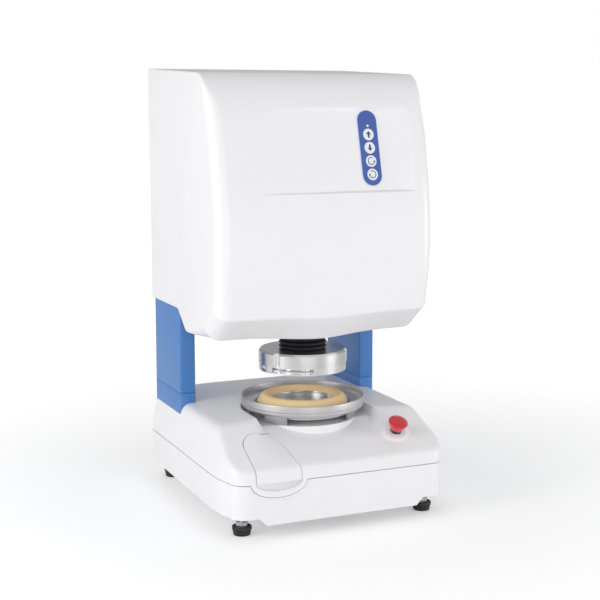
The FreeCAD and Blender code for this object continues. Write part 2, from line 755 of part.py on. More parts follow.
def make_head_parts():
    shell = head_block(0)
    chin_outline = [V(-CHIN_HALF, HEAD_STEP_FRONT_Y - 8, HEAD_BOTTOM + 4),
                    V(-CHIN_HALF, HEAD_STEP_FRONT_Y - 16, HEAD_BOTTOM - CHIN_DROP),
                    V(-CHIN_HALF, HEAD_CHAMFER_Y - 4, HEAD_BOTTOM - CHIN_DROP),
                    V(-CHIN_HALF, HEAD_CHIN_Y - 2, HEAD_CHIN_Z - CHIN_DROP - 2),
                    V(-CHIN_HALF, HEAD_CHIN_Y + 3, HEAD_CHIN_Z + 12)]
    chin = prism(chin_outline, V(2 * CHIN_HALF, 0, 0))
    flanks = [e for e in chin.Edges if e.BoundBox.XLength < 0.1 and e.BoundBox.ZMax < HEAD_CHIN_Z - 4]
    chin = chin.makeChamfer(CHIN_DROP * 0.9, flanks)
    shell = shell.fuse(chin)
    shell = shell.cut(sunk_tool(0))
    hollow = head_block(HEAD_WALL).cut(sunk_tool(HEAD_WALL))
    shell = shell.cut(hollow)
    shell = shell.cut(cyl(BELLOWS_R + 1.0, HEAD_BOTTOM - CHIN_DROP - 2, HEAD_BOTTOM + HEAD_WALL + 1))
    for side in (-1, 1):
        shell = shell.cut(column_box(side, CLEAR, HEAD_REAR_BOTTOM - 2, HEAD_REAR_BOTTOM + HEAD_WALL + 1))
    frame = pad_frame()
    for v in key_centres():
        hole = Part.makeCylinder(KEY_R + 1.0, 12, V(0, v, -8))
        shell = shell.cut(placed(hole, frame))
    panel = head_block(HEAD_WALL + CLEAR).common(
        box(-HEAD_HALF, HEAD_HALF, REAR_Y - BACK_INSET - BACK_PANEL, REAR_Y - BACK_INSET, 0, 900))
    for i in range(LOUVRES):
        z0 = LOUVRE_Z + LOUVRE_PITCH * i
        for x0 in (-LOUVRE_SPREAD - LOUVRE_LENGTH, LOUVRE_SPREAD):
            panel = panel.cut(box(x0, x0 + LOUVRE_LENGTH, REAR_Y - 10, REAR_Y, z0, z0 + LOUVRE_WIDTH))
    for side in (-1, 1):
        panel = panel.cut(column_box(side, CLEAR, HEAD_REAR_BOTTOM - 2, COLUMN_TOP + 1))
    pad = placed(stadium(PAD_WIDTH, PAD_LENGTH, 0, PAD_THICK), frame)
    for v in key_centres():
        pad = pad.cut(placed(Part.makeCylinder(KEY_R + CLEAR, 12, V(0, v, -8)), frame))
    pad = pad.cut(placed(Part.makeCylinder(LED_R + FIT, 12, V(0, LED_UP, -8)), frame))
    return one(shell), panel, one(pad)


def stem_end():
    """Height of a key stem's lower end, counted out from the sunk panel's floor."""
    return PAD_THICK + KEY_PROUD - KEY_THICK - KEY_STEM


def make_keys():
    frame = pad_frame()
    keys = []
    for v in key_centres():
        low = PAD_THICK + KEY_PROUD - KEY_THICK
        cap = Part.makeCylinder(KEY_R, KEY_THICK, V(0, v, low))
        rim = [e for e in cap.Edges if abs(e.BoundBox.ZMin - PAD_THICK - KEY_PROUD) < 0.01]
        cap = cap.makeFillet(0.5, rim)
        stem = Part.makeCylinder(KEY_STEM_R, low - stem_end(), V(0, v, stem_end()))
        keys.append(placed(cap.fuse(stem), frame))
    lens = Part.makeCylinder(LED_R, PAD_THICK + 0.4, V(0, LED_UP, 0))
    return keys, placed(lens, frame)


def make_board():
    """Key switch board behind the keypad, held off the shell by four posts."""
    frame = pad_frame()
    depth = -KEY_THICK - KEY_TRAVEL - 4.4
    board = Part.makeBox(50, PAD_LENGTH - 10, 1.6, V(-25, -PAD_LENGTH / 2 + 5, depth - 1.6))
    for u in (-21, 21):
        for v in (-45, 45):
            board = board.fuse(Part.makeCylinder(2.5, -depth - HEAD_WALL, V(u, v, depth)))
    switch_top = stem_end() - KEY_TRAVEL - CLEAR
    for v in key_centres():
        board = board.fuse(Part.makeBox(7, 7, 1.5, V(-3.5, v - 3.5, depth)))
        board = board.fuse(Part.makeCylinder(KEY_STEM_R, switch_top - depth, V(0, v, depth)))
    return placed(board, frame)


def make_feet():
    feet = []
    studs = []
    for x, y in FEET:
        pad = Part.makeCone(FOOT_R - FOOT_TAPER, FOOT_R, FOOT_NECK_Z, V(x, y, 0))
        pad = pad.fuse(cyl(FOOT_R - FOOT_NECK, FOOT_NECK_Z, FOOT_RIM_Z, x, y))
        pad = pad.fuse(cyl(FOOT_RIM_R, FOOT_RIM_Z, FOOT_H, x, y))
        pad = pad.cut(cyl(FOOT_DISH_R, FOOT_H - FOOT_DISH, FOOT_H + 1, x, y))
        pad = pad.cut(cyl(STUD_R, STUD_ROOT, FOOT_H + 1, x, y))
        feet.append(one(pad))
        corner = NUT_FLATS / math.sqrt(3)
        hexagon = []
        for i in range(6):
            a = math.pi * i / 3
            hexagon.append(V(x + corner * math.cos(a), y + corner * math.sin(a), FOOT_H - FOOT_DISH))
        nut = prism(hexagon, V(0, 0, NUT_H))
        studs.append(one(cyl(STUD_R, STUD_ROOT, STUD_TOP - STUD_SHORT, x, y).fuse(nut)))
    return feet, studs


def wedge(centre, width, z0, z1):
    """A sector about the spindle, its angles in degrees round from the front."""
    reach = 2 * GUARD_R
    points = [V(0, SPINDLE_Y, z0)]
    for share in (-0.5, 0.0, 0.5):
        a = math.radians(centre + share * width)
        points.append(V(reach * math.sin(a), SPINDLE_Y - reach * math.cos(a), z0))
    return prism(points, V(0, 0, z1 - z0))


def make_guard():
    """Ring on the collar, low in three windows, that shields the turntable's edge."""
    guard = ring(GUARD_R, GUARD_R - GUARD_WALL, COLLAR_Z, GUARD_TOP)
    for turn in (0, 120, 240):
        guard = guard.cut(wedge(turn, GUARD_WINDOW, COLLAR_Z + GUARD_SILL, GUARD_TOP + 1))
    return one(guard)


def gear_outline(teeth, shift_angle):
    """Outline of a spur gear with straight-flanked teeth of the named module."""
    pitch = GEAR_MODULE * teeth / 2
    root = pitch - 1.25 * GEAR_MODULE
    tip = pitch + GEAR_MODULE
    step = 2 * math.pi / teeth
    thin = (GEAR_BACKLASH / 2) / pitch
    points = []
    for i in range(teeth):
        a = i * step + shift_angle
        for r, w in ((root, -0.36), (pitch, -0.25), (tip, -0.12), (tip, 0.12), (pitch, 0.25), (root, 0.36)):
            turn = a + w * step - math.copysign(thin, w)
            points.append((r * math.cos(turn), r * math.sin(turn)))
    return points


def make_gears():
    centre = GEAR_MODULE * (GEAR_TEETH + PINION_TEETH) / 2
    wheel = prism([V(x, SPINDLE_Y + y, GEAR_Z) for x, y in gear_outline(GEAR_TEETH, 0)], V(0, 0, GEAR_FACE))
    for i in range(GEAR_HOLES):
        a = 2 * math.pi * (i + 0.5) / GEAR_HOLES
        x, y = GEAR_HOLES_AT * math.cos(a), SPINDLE_Y + GEAR_HOLES_AT * math.sin(a)
        wheel = wheel.cut(cyl(GEAR_HOLE_R, GEAR_Z - 1, GEAR_Z + GEAR_FACE + 1, x, y))
    wheel = wheel.cut(cyl(TABLE_SHAFT_R, GEAR_Z - 1, GEAR_Z + GEAR_FACE + 1))
    half_step = math.pi / PINION_TEETH
    pinion = prism([V(centre + x, SPINDLE_Y + y, GEAR_Z - 1)
                    for x, y in gear_outline(PINION_TEETH, math.pi + half_step)], V(0, 0, GEAR_FACE + 2))
    shaft = cyl(PINION_SHAFT_R, DRIVE_PLATE_Z - 6, GEAR_Z + GEAR_FACE + 4, centre)
    return wheel, one(pinion.fuse(shaft)), centre


def make_turntable():
    table = cyl(TABLE_R, TABLE_TOP - TABLE_THICK, TABLE_TOP)
    rim = [e for e in table.Edges if e.BoundBox.ZMax > TABLE_TOP - 0.1 and e.BoundBox.XLength > 50]
    table = table.makeChamfer(1.0, rim)
    table = table.fuse(cyl(TABLE_HUB_R, TABLE_TOP - 1, TABLE_TOP + TABLE_HUB_H))
    spigot = cyl(TABLE_SHAFT_R - SPIGOT_STEP, TABLE_TOP - TABLE_THICK - 1, TABLE_TOP - SPIGOT_STEP)
    shaft = cyl(TABLE_SHAFT_R, TABLE_SHAFT_LOW, TABLE_TOP - TABLE_THICK).fuse(spigot)
    return one(table.cut(spigot)), one(shaft)


def make_drive_frame(centre):
    right = centre + DRIVE_PLATE_REACH
    plate = box(-DRIVE_PLATE_HALF, right, SPINDLE_Y - DRIVE_PLATE_SIDE, SPINDLE_Y + DRIVE_PLATE_SIDE,
                DRIVE_PLATE_Z, DRIVE_PLATE_Z + DRIVE_PLATE_THICK)
    plate = plate.cut(cyl(BEARING_R, DRIVE_PLATE_Z - 1, DRIVE_PLATE_Z + DRIVE_PLATE_THICK + 1))
    plate = plate.cut(cyl(PINION_SHAFT_R + 4, DRIVE_PLATE_Z - 1, DRIVE_PLATE_Z + 10, centre))
    dy = DRIVE_PLATE_SIDE - STANDOFF_INSET
    for x in (STANDOFF_INSET - DRIVE_PLATE_HALF, right - STANDOFF_INSET):
        for y in (SPINDLE_Y - dy, SPINDLE_Y + dy):
            plate = plate.fuse(cyl(STANDOFF_R, PAN_BOTTOM + PAN_FLOOR, DRIVE_PLATE_Z, x, y))
    bearing = ring(BEARING_R, TABLE_SHAFT_R + FIT, DRIVE_PLATE_Z - 1, DRIVE_PLATE_Z - 1 + BEARING_H)
    motor = cyl(DRIVE_MOTOR_R, DRIVE_PLATE_Z - DRIVE_MOTOR_H, DRIVE_PLATE_Z, centre)
    motor = motor.cut(cyl(PINION_SHAFT_R + FIT, DRIVE_PLATE_Z - 7, DRIVE_PLATE_Z + 1, centre))
    return one(plate), bearing, motor


def make_cell():
    low = TABLE_TOP
    floor = low + TRAY_FLOOR
    bore = TABLE_HUB_R + CLEAR
    tray = turned([
        (bore, low), (TRAY_R - 5, low), (TRAY_R - 2.2, low + 2.0), (TRAY_R - 1.2, low + 4.5),
        (TRAY_R - 1.2, low + 7.5), (TRAY_R, low + 9.0), (TRAY_R, TRAY_RIM_Z - 1.2),
        (TRAY_R - 0.8, TRAY_RIM_Z), (TRAY_R - 1.8, TRAY_RIM_Z - 0.2), (TRAY_R - TRAY_WALL, TRAY_RIM_Z - 2.0),
        (TRAY_R - TRAY_WALL - 0.6, TRAY_STEP_Z + 3.0), (TRAY_R - TRAY_WALL - 4.0, TRAY_STEP_Z),
        (TRAY_STEP_R, TRAY_STEP_Z), (TRAY_STEP_R, floor), (bore, floor)])
    base = floor
    trough = turned([
        (TROUGH_IN_R - TROUGH_WALL, base), (TROUGH_R, base), (TROUGH_R, TROUGH_TOP - 0.6),
        (TROUGH_R - 0.6, TROUGH_TOP), (TROUGH_R - TROUGH_WALL, TROUGH_TOP),
        (TROUGH_R - TROUGH_WALL, base + TROUGH_WALL), (TROUGH_IN_R, base + TROUGH_WALL),
        (TROUGH_IN_R, TROUGH_IN_TOP), (TROUGH_IN_R - TROUGH_WALL, TROUGH_IN_TOP)])
    r0, r1 = TROUGH_IN_R + 0.15, TROUGH_R - TROUGH_WALL - 0.15
    z0 = base + TROUGH_WALL
    span = r1 - r0
    crown = [(r1, POWDER_EDGE_Z)]
    for t, rise in ((0.92, 0.42), (0.78, 0.78), (0.6, 0.97), (0.42, 1.0), (0.24, 0.86), (0.1, 0.62)):
        crown.append((r0 + span * t, POWDER_EDGE_Z + (POWDER_CROWN_Z - POWDER_EDGE_Z) * rise))
    crown.append((r0, TROUGH_IN_TOP - 1.0))
    powder = turned([(r0, z0), (r1, z0)] + crown)
    return tray, trough, powder


def make_lid():
    bore = SHAFT_R + SHAFT_STEP + FIT
    disc = turned([
        (bore, LID_SPLIT), (LID_R - 8, LID_SPLIT), (LID_R, LID_SPLIT), (LID_R, LID_TOP - LID_EDGE),
        (LID_R - LID_EDGE, LID_TOP), (bore, LID_TOP)])
    for side in (0, 180):
        for s in (-1, 1):
            a = math.radians(side + s * SCALLOP_ANGLE)
            r = LID_R + SCALLOP_OUT
            disc = disc.cut(cyl(SCALLOP_R, LID_SPLIT - 1, LID_TOP + 1,
                                -r * math.cos(a), SPINDLE_Y - r * math.sin(a)))
    skirt_r = LID_R - SKIRT_STEP
    skirt = ring(skirt_r, skirt_r - LID_SKIRT, LID_BOTTOM, LID_SPLIT)
    for turn in (0, 180):
        for centre, width in ((WIDE_WINDOW_AT, WIDE_WINDOW), (SMALL_WINDOW_AT, SMALL_WINDOW)):
            skirt = skirt.cut(wedge(centre + turn, width, WINDOW_LOW, WINDOW_HIGH))
    vane_end = skirt_r - LID_SKIRT + 0.5
    hub = TROUGH_IN_R + 1.5
    low = LID_BOTTOM + 1.0
    for i in range(VANES):
        blade = box(hub, vane_end, SPINDLE_Y - VANE_THICK / 2, SPINDLE_Y + VANE_THICK / 2, low, LID_SPLIT)
        blade.rotate(V(0, SPINDLE_Y, 0), V(0, 0, 1), 360 * (i + 0.3) / VANES)
        skirt = skirt.fuse(blade)
    skirt = skirt.fuse(ring(hub + 2, hub, low, LID_SPLIT))
    return one(disc), one(skirt)


def make_bellows():
    length = BELLOWS_TOP - LID_TOP
    step = length / (2 * BELLOWS_FOLDS)
    outer = []
    for i in range(2 * BELLOWS_FOLDS + 1):
        r = BELLOWS_ROOT_R if i % 2 == 0 else BELLOWS_R
        outer.append((r, LID_TOP + step * i))
    inner = [(r - BELLOWS_WALL, z) for r, z in reversed(outer)]
    return turned(outer + inner)


def make_lift():
    rails = []
    for s in (-1, 1):
        rails.append(cyl(RAIL_R, RAIL_BOTTOM, RAIL_TOP, s * RAIL_X, RAIL_Y))
    brackets = []
    for z0 in (RAIL_BOTTOM, RAIL_TOP - BRACKET_THICK):
        bracket = box(-BRACKET_HALF, BRACKET_HALF, BRACKET_FRONT_Y, PLATE_Y, z0, z0 + BRACKET_THICK)
        for s in (-1, 1):
            bracket = bracket.cut(cyl(RAIL_R, z0 - 1, z0 + BRACKET_THICK + 1, s * RAIL_X, RAIL_Y))
        bracket = bracket.cut(cyl(SCREW_R + FIT, z0 - 1, z0 + BRACKET_THICK + 1, 0, SCREW_Y))
        brackets.append(bracket)
    low = MOTOR_Z - MOTOR_STAND
    front, rear = SCREW_Y - MOTOR_HALF, SCREW_Y + MOTOR_HALF
    stand = box(-MOTOR_HALF, MOTOR_HALF, front, rear, low, MOTOR_Z)
    stand = stand.cut(cyl(MOTOR_BORE_R, low - 1, MOTOR_Z + 1, 0, SCREW_Y))
    reach = MOTOR_HALF - MOTOR_POST_R - 1
    for sx in (-1, 1):
        for sy in (-1, 1):
            stand = stand.fuse(cyl(MOTOR_POST_R, RAIL_TOP, low, sx * reach, SCREW_Y + sy * reach))
    motor = box(-MOTOR_HALF, MOTOR_HALF, front, rear, MOTOR_Z, MOTOR_Z + MOTOR_H)
    corners = [e for e in motor.Edges if e.BoundBox.ZLength > 10]
    motor = motor.makeChamfer(5, corners)
    motor = motor.cut(cyl(MOTOR_SHAFT_R + FIT, MOTOR_Z - 1, MOTOR_Z + 12, 0, SCREW_Y))
    screw = cyl(SCREW_R, RAIL_BOTTOM + 1, RAIL_TOP + 5, 0, SCREW_Y)
    coupling = cyl(COUPLING_R, RAIL_TOP + 2, MOTOR_Z - 8, 0, SCREW_Y)
    coupling = coupling.cut(cyl(SCREW_R, RAIL_TOP + 1, RAIL_TOP + 5, 0, SCREW_Y))
    coupling = coupling.fuse(cyl(MOTOR_SHAFT_R, MOTOR_Z - 9, MOTOR_Z + 11, 0, SCREW_Y))
    z0, z1 = CARRIAGE_Z, CARRIAGE_Z + CARRIAGE_H
    carriage_front = RAIL_Y - CARRIAGE_FORE
    carriage = box(-CARRIAGE_HALF, CARRIAGE_HALF, carriage_front, SCREW_Y + CARRIAGE_AFT, z0, z1)
    arm = box(-ARM_HALF, ARM_HALF, SPINDLE_Y - ARM_FORE, carriage_front + 1, z0, z0 + ARM_H)
    carriage = carriage.fuse(arm)
    for s in (-1, 1):
        x = s * RIB_X
        rib = box(x - RIB_THICK / 2, x + RIB_THICK / 2, SPINDLE_Y + CELL_R, carriage_front + 1,
                  z0 + ARM_H - 1, z0 + ARM_H + RIB_H)
        carriage = carriage.fuse(rib)
        carriage = carriage.cut(cyl(RAIL_R + FIT, z0 - 1, z1 + 1, s * RAIL_X, RAIL_Y))
    carriage = carriage.cut(cyl(NUT_R, z0 - 1, z1 + 1, 0, SCREW_Y))
    nut = ring(NUT_R, SCREW_R + FIT, z0 + 2, z1 + 6, 0, SCREW_Y)
    nut = nut.fuse(ring(NUT_R + 6, SCREW_R + FIT, z1, z1 + 6, 0, SCREW_Y))
    cell_low = z0 - CELL_H
    cell = cyl(CELL_R, cell_low, z0)
    for x0, x1 in ((-CELL_R - 1, -CELL_WEB_HALF), (CELL_WEB_HALF, CELL_R + 1)):
        cell = cell.cut(box(x0, x1, SPINDLE_Y - CELL_R, SPINDLE_Y + CELL_R,
                            cell_low + CELL_SKIN, z0 - CELL_SKIN))
    shoulder = LID_TOP - SHAFT_NOSE
    shaft = cyl(SHAFT_R, shoulder, cell_low).fuse(cyl(SHAFT_R + SHAFT_STEP, LID_SPLIT, shoulder))
    shaft = shaft.fuse(cyl(SHAFT_FLANGE_R, cell_low - SHAFT_FLANGE_H, cell_low))
    carriage, nut, cell, shaft = one(carriage), one(nut), one(cell), one(shaft)
    return rails, brackets, one(stand), motor, screw, one(coupling), carriage, nut, cell, shaft


def make_stop():
    frame = slope_frame(STOP_X, STOP_Y)
    top = STOP_BOSS_H
    collar = Part.makeCylinder(STOP_COLLAR_R, STOP_COLLAR_H, V(0, 0, top))
    block_top = -COVER_WALL - STOP_BODY_DROP
    collar = collar.fuse(Part.makeCylinder(STOP_TUBE_R, top - block_top, V(0, 0, block_top)))
    collar = collar.cut(Part.makeCylinder(STOP_STEM_R + FIT, 40, V(0, 0, -30)))
    skirt = top + STOP_COLLAR_H + STOP_TRAVEL + STOP_GAP
    seat = skirt + STOP_SOCKET
    plunger = Part.makeCylinder(STOP_STEM_R, seat + 16, V(0, 0, -16))
    plunger = plunger.fuse(Part.makeCylinder(3, 6, V(0, 0, seat)))
    edge, crown = STOP_HEAD_R, skirt + STOP_HEAD_H
    points = [(0, skirt), (STOP_NECK_R, skirt), (STOP_NECK_R + 0.4, skirt + 1.6), (edge - 0.7, crown - 5.0),
              (edge, crown - 3.6), (edge - 0.3, crown - 2.4), (edge - 2.2, crown - 1.2),
              (edge - 6.0, crown - 0.4), (0, crown)]
    face = Part.Face(Part.makePolygon([V(r, 0, z) for r, z in points + [points[0]]]))
    head = face.revolve(V(0, 0, 0), V(0, 0, 1), 360)
    head = head.cut(Part.makeCylinder(STOP_STEM_R + FIT, STOP_SOCKET + 1, V(0, 0, skirt - 1)))
    head = head.cut(Part.makeCylinder(3 + FIT, 9, V(0, 0, seat - 2)))
    body = Part.makeBox(2 * STOP_BODY_HALF, 2 * STOP_BODY_HALF, STOP_BODY_H,
                        V(-STOP_BODY_HALF, -STOP_BODY_HALF, block_top - STOP_BODY_H))
    body = body.cut(Part.makeCylinder(STOP_STEM_R + 1, 12, V(0, 0, block_top - 10)))
    return [placed(s, frame) for s in (collar, plunger, head, body)]


def make_service():
    """Sunk service panel in the rear wall with the mains inlet and its rocker switch."""
    seat = REAR_Y - PAN_WALL
    back = seat - SERVICE_PLATE
    low, high = SERVICE_Z - SERVICE_H / 2, SERVICE_Z + SERVICE_H / 2
    plate = box(SERVICE_X - SERVICE_HALF - SERVICE_LAP, SERVICE_X + SERVICE_HALF + SERVICE_LAP, back, seat,
                low - SERVICE_LAP, high + SERVICE_LAP)
    mouth = box(INLET_X - INLET_HALF, INLET_X + INLET_HALF, back - 1, seat + 1,
                SERVICE_Z - INLET_H / 2, SERVICE_Z + INLET_H / 2)
    case_half = ROCKER_HALF + ROCKER_CASE_WALL
    case_h = ROCKER_H / 2 + ROCKER_CASE_WALL
    case = box(ROCKER_X - case_half, ROCKER_X + case_half, back - ROCKER_CASE_DEPTH, seat + 1.0,
               SERVICE_Z - case_h, SERVICE_Z + case_h)
    room = box(ROCKER_X - ROCKER_HALF, ROCKER_X + ROCKER_HALF, back - ROCKER_CASE_DEPTH + ROCKER_CASE_WALL,
               seat + 2, SERVICE_Z - ROCKER_H / 2, SERVICE_Z + ROCKER_H / 2)
    y, x0, x1 = rocker_axis_y(), ROCKER_X - ROCKER_HALF, ROCKER_X + ROCKER_HALF
    bore = Part.makeCylinder(ROCKER_AXLE_R + FIT, x1 - x0 + 2, V(x0 - 1, y, SERVICE_Z), V(1, 0, 0))
    plate = plate.cut(mouth).fuse(case).cut(room).cut(bore)
    inlet = box(INLET_X - INLET_HALF, INLET_X + INLET_HALF, back - INLET_DEPTH, seat + 1.5,
                SERVICE_Z - INLET_H / 2, SERVICE_Z + INLET_H / 2)
    inlet = inlet.cut(box(INLET_X - SOCKET_HALF, INLET_X + SOCKET_HALF, back - SOCKET_DEPTH, seat + 2,
                          SERVICE_Z - SOCKET_H / 2, SERVICE_Z + SOCKET_H / 2))
    for dx, dz in ((-PIN_SPREAD, 0), (PIN_SPREAD, 0), (0, PIN_SPREAD / 2)):
        inlet = inlet.fuse(box(INLET_X + dx - 1, INLET_X + dx + 1, back - SOCKET_DEPTH - 1, back - 2,
                               SERVICE_Z + dz - 2, SERVICE_Z + dz + 2))
    high_y = seat + 3.0
    reach = ROCKER_H / 2 - 1.2
    low_y = y - ROCKER_SINK
    side = [V(x0 + CLEAR, low_y, SERVICE_Z - 4), V(x0 + CLEAR, high_y, SERVICE_Z - reach),
            V(x0 + CLEAR, high_y - 1.2, SERVICE_Z), V(x0 + CLEAR, high_y, SERVICE_Z + reach),
            V(x0 + CLEAR, low_y, SERVICE_Z + 4)]
    rocker = prism(side, V(x1 - x0 - 2 * CLEAR, 0, 0))
    axle = Part.makeCylinder(ROCKER_AXLE_R, x1 - x0 + 1.4, V(x0 - 0.7, y, SERVICE_Z), V(1, 0, 0))
    rocker = rocker.fuse(axle)
    rocker.rotate(V(ROCKER_X, y, SERVICE_Z), V(1, 0, 0), -ROCKER_TILT)
    return one(plate), one(inlet), one(rocker)


def rocker_axis_y():
    return REAR_Y - PAN_WALL - ROCKER_SINK


def hinge_point():
    """A point on the hatch hinge's axis: just under the skin at the top of the arc."""
    y = HATCH_APEX_Y + HATCH_GAP / 2
    return V(HATCH_X, y, slope_z(y)) - SLOPE_NORMAL * HINGE_SINK


def hinge_bar(r, x0, x1):
    p = hinge_point()
    return Part.makeCylinder(r, x1 - x0, V(HATCH_X + x0, p.y, p.z), V(1, 0, 0))


def add_hinge(cover, flap):
    """Two barrels on the cover and one on the flap, on a wire pin."""
    room = HINGE_BARREL_R + 0.35
    m, h = HINGE_MIDDLE, HINGE_HALF
    flap = flap.cut(hinge_bar(room, -h - 0.5, -m).fuse(hinge_bar(room, m, h + 0.5)))
    flap = flap.fuse(hinge_bar(HINGE_BARREL_R, -m + 0.3, m - 0.3))
    cover = cover.cut(hinge_bar(room, -m, m))
    cover = cover.fuse([hinge_bar(HINGE_BARREL_R, -h, -m), hinge_bar(HINGE_BARREL_R, m, h)])
    bore = hinge_bar(HINGE_PIN_R + 0.05, -h - 1, h + 1)
    return one(cover.cut(bore)), one(flap.cut(bore)), hinge_bar(HINGE_PIN_R, -h, h)


def make_well():
    """Open-topped tub under the hatch, standing on the pan's floor on two ribs."""
    half = HATCH_HALF - WELL_INSET
    y0, y1 = FRONT_Y + WELL_FRONT_INSET, HATCH_APEX_Y - WELL_CORNER_R
    tub = box(HATCH_X - half, HATCH_X + half, y0, y1, WELL_FLOOR_Z, WELL_TOP_Z)
    corners = [e for e in tub.Edges if e.BoundBox.ZLength > 10]
    tub = tub.makeFillet(WELL_CORNER_R, corners)
    inside = box(HATCH_X - half + WELL_WALL, HATCH_X + half - WELL_WALL, y0 + WELL_WALL, y1 - WELL_WALL,
                 WELL_FLOOR_Z + WELL_WALL, WELL_TOP_Z + 1)
    corners = [e for e in inside.Edges if e.BoundBox.ZLength > 10]
    tub = tub.cut(inside.makeFillet(WELL_CORNER_R - WELL_WALL, corners))
    for s in (-1, 1):
        x = HATCH_X + s * WELL_RIB_X
        tub = tub.fuse(box(x - 2, x + 2, y0 + 6, y1 - 6, PAN_BOTTOM + PAN_FLOOR, WELL_FLOOR_Z))
    return one(tub)


def make_head_frame():
    """Cross plate between the posts that carries the lift drive, with lightening holes."""
    inner = COLUMN_IN + COLUMN_WALL + POST_GAP
    low, high = RAIL_BOTTOM + FRAME_RISE, POST_TOP - FRAME_DROP
    plate = box(-inner, inner, PLATE_Y, PLATE_Y + PLATE_THICK, low, high)
    for side in (-1, 1):
        for i in range(FRAME_HOLES):
            at = V(side * (inner - FRAME_HOLE_INSET), PLATE_Y - 1, FRAME_HOLE_Z + FRAME_HOLE_PITCH * i)
            plate = plate.cut(Part.makeCylinder(FRAME_HOLE_R, PLATE_THICK + 2, at, V(0, 1, 0)))
        flange = box(inner - FRAME_FLANGE, inner, PLATE_Y - FRAME_FLANGE_DEPTH, PLATE_Y, low, high)
        if side < 0:
            flange = flange.mirror(V(0, 0, 0), V(1, 0, 0))
        plate = plate.fuse(flange)
    return one(plate)


def make_bellows_collar():
    """Flange on the head's floor that holds the upper end of the bellows."""
    z0 = HEAD_BOTTOM + HEAD_WALL
    tube = ring(BELLOWS_R + 8, BELLOWS_R + 1.4, z0, BELLOWS_TOP)
    return one(tube.fuse(ring(BELLOWS_R + 8, BELLOWS_ROOT_R - 3, BELLOWS_TOP, BELLOWS_TOP + 2)))


def make_screws():
    """Button-head screws that hold the back panel: heads against the panel's rear face."""
    y = REAR_Y - BACK_INSET
    screws = []
    for share in (-1, -1 / 3, 1 / 3, 1):
        for z in (PANEL_SCREW_LOW, HEAD_TOP_REAR - PANEL_SCREW_DROP):
            place = V(share * (HEAD_HALF - PANEL_SCREW_INSET), y, z)
            screws.append(Part.makeCylinder(PANEL_SCREW_R, PANEL_SCREW_H, place, V(0, 1, 0)))
    return Part.makeCompound(screws)


def main():
    os.makedirs(OUT, exist_ok=True)
    nodes = {}
    nodes["base_pan"] = make_pan()
    cover, flap, boots = make_cover_parts()
    nodes["base_cover"], nodes["hatch_flap"], nodes["hatch_pin"] = add_hinge(cover, flap)
    nodes["hatch_well"] = make_well()
    nodes["left_boot"], nodes["right_boot"] = boots
    pads, studs = make_feet()
    for (x, y), pad, stud in zip(FEET, pads, studs):
        place = ("front" if y < 0 else "rear") + ("_left" if x < 0 else "_right")
        nodes["foot_" + place] = pad
        nodes["stud_" + place] = stud
    for side, word in ((-1, "left"), (1, "right")):
        nodes[word + "_post"] = post_box(side, 0, PAN_BOTTOM + PAN_FLOOR, POST_TOP)
        nodes[word + "_column"] = column_tube(side, BOOT_TOP + BOOT_SEAM, COLUMN_TOP)
    nodes["head_shell"], nodes["back_panel"], nodes["keypad_plate"] = make_head_parts()
    keys, nodes["status_lens"] = make_keys()
    for word, key in zip(("up", "down", "turn_left", "turn_right"), keys):
        nodes["key_" + word] = key
    nodes["key_board"] = make_board()
    nodes["head_frame"] = make_head_frame()
    nodes["bellows_collar"] = make_bellows_collar()
    nodes["bellows"] = make_bellows()
    rails, brackets, stand, motor, screw, coupling, carriage, nut, cell, shaft = make_lift()
    nodes["guide_rails"] = Part.makeCompound(rails)
    lower, upper = brackets
    nodes["rail_brackets"] = Part.makeCompound([lower, one(upper.fuse(stand))])
    nodes["lift_motor"] = motor
    nodes["leadscrew"] = one(screw.fuse(coupling))
    nodes["carriage"] = carriage
    nodes["screw_nut"] = nut
    nodes["load_cell"] = cell
    nodes["spindle_shaft"] = shaft
    nodes["lid_disc"], nodes["lid_skirt"] = make_lid()
    nodes["guard_ring"] = make_guard()
    nodes["turntable"], nodes["turntable_shaft"] = make_turntable()
    nodes["turntable_gear"], nodes["pinion"], centre = make_gears()
    nodes["drive_frame"], nodes["turntable_bearing"], nodes["turntable_motor"] = make_drive_frame(centre)
    nodes["catch_tray"], nodes["trough"], nodes["powder_ring"] = make_cell()
    stop = make_stop()
    for word, shape in zip(("collar", "plunger", "button", "contacts"), stop):
        nodes["stop_" + word] = shape
    nodes["service_plate"], nodes["power_inlet"], nodes["power_rocker"] = make_service()
    nodes["panel_screws"] = make_screws()
    for name, shape in nodes.items():
        save(name, shape)


if __name__ == "__main__":
    main()
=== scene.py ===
"""Looks of a bench powder flow tester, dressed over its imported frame.

Lengths in the constants below are millimetres in the frame's own axes, and MM turns
them into metres where a mesh is made.
"""
import math

import bmesh
import bpy
import numpy as np
from mathutils import Matrix, Vector


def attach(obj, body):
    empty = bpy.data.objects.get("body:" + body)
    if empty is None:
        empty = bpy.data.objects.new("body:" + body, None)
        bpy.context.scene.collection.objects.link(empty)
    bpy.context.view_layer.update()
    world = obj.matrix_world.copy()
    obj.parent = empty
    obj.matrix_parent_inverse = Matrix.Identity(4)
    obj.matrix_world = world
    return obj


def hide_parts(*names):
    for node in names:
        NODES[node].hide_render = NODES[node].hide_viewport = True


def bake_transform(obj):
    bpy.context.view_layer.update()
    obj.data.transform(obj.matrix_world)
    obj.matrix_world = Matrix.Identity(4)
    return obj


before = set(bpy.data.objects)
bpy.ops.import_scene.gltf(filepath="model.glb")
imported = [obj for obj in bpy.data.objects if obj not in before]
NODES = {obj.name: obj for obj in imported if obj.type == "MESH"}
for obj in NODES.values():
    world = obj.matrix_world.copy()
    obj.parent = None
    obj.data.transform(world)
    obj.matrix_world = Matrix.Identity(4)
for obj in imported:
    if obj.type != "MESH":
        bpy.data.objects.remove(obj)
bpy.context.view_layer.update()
MM = 0.001

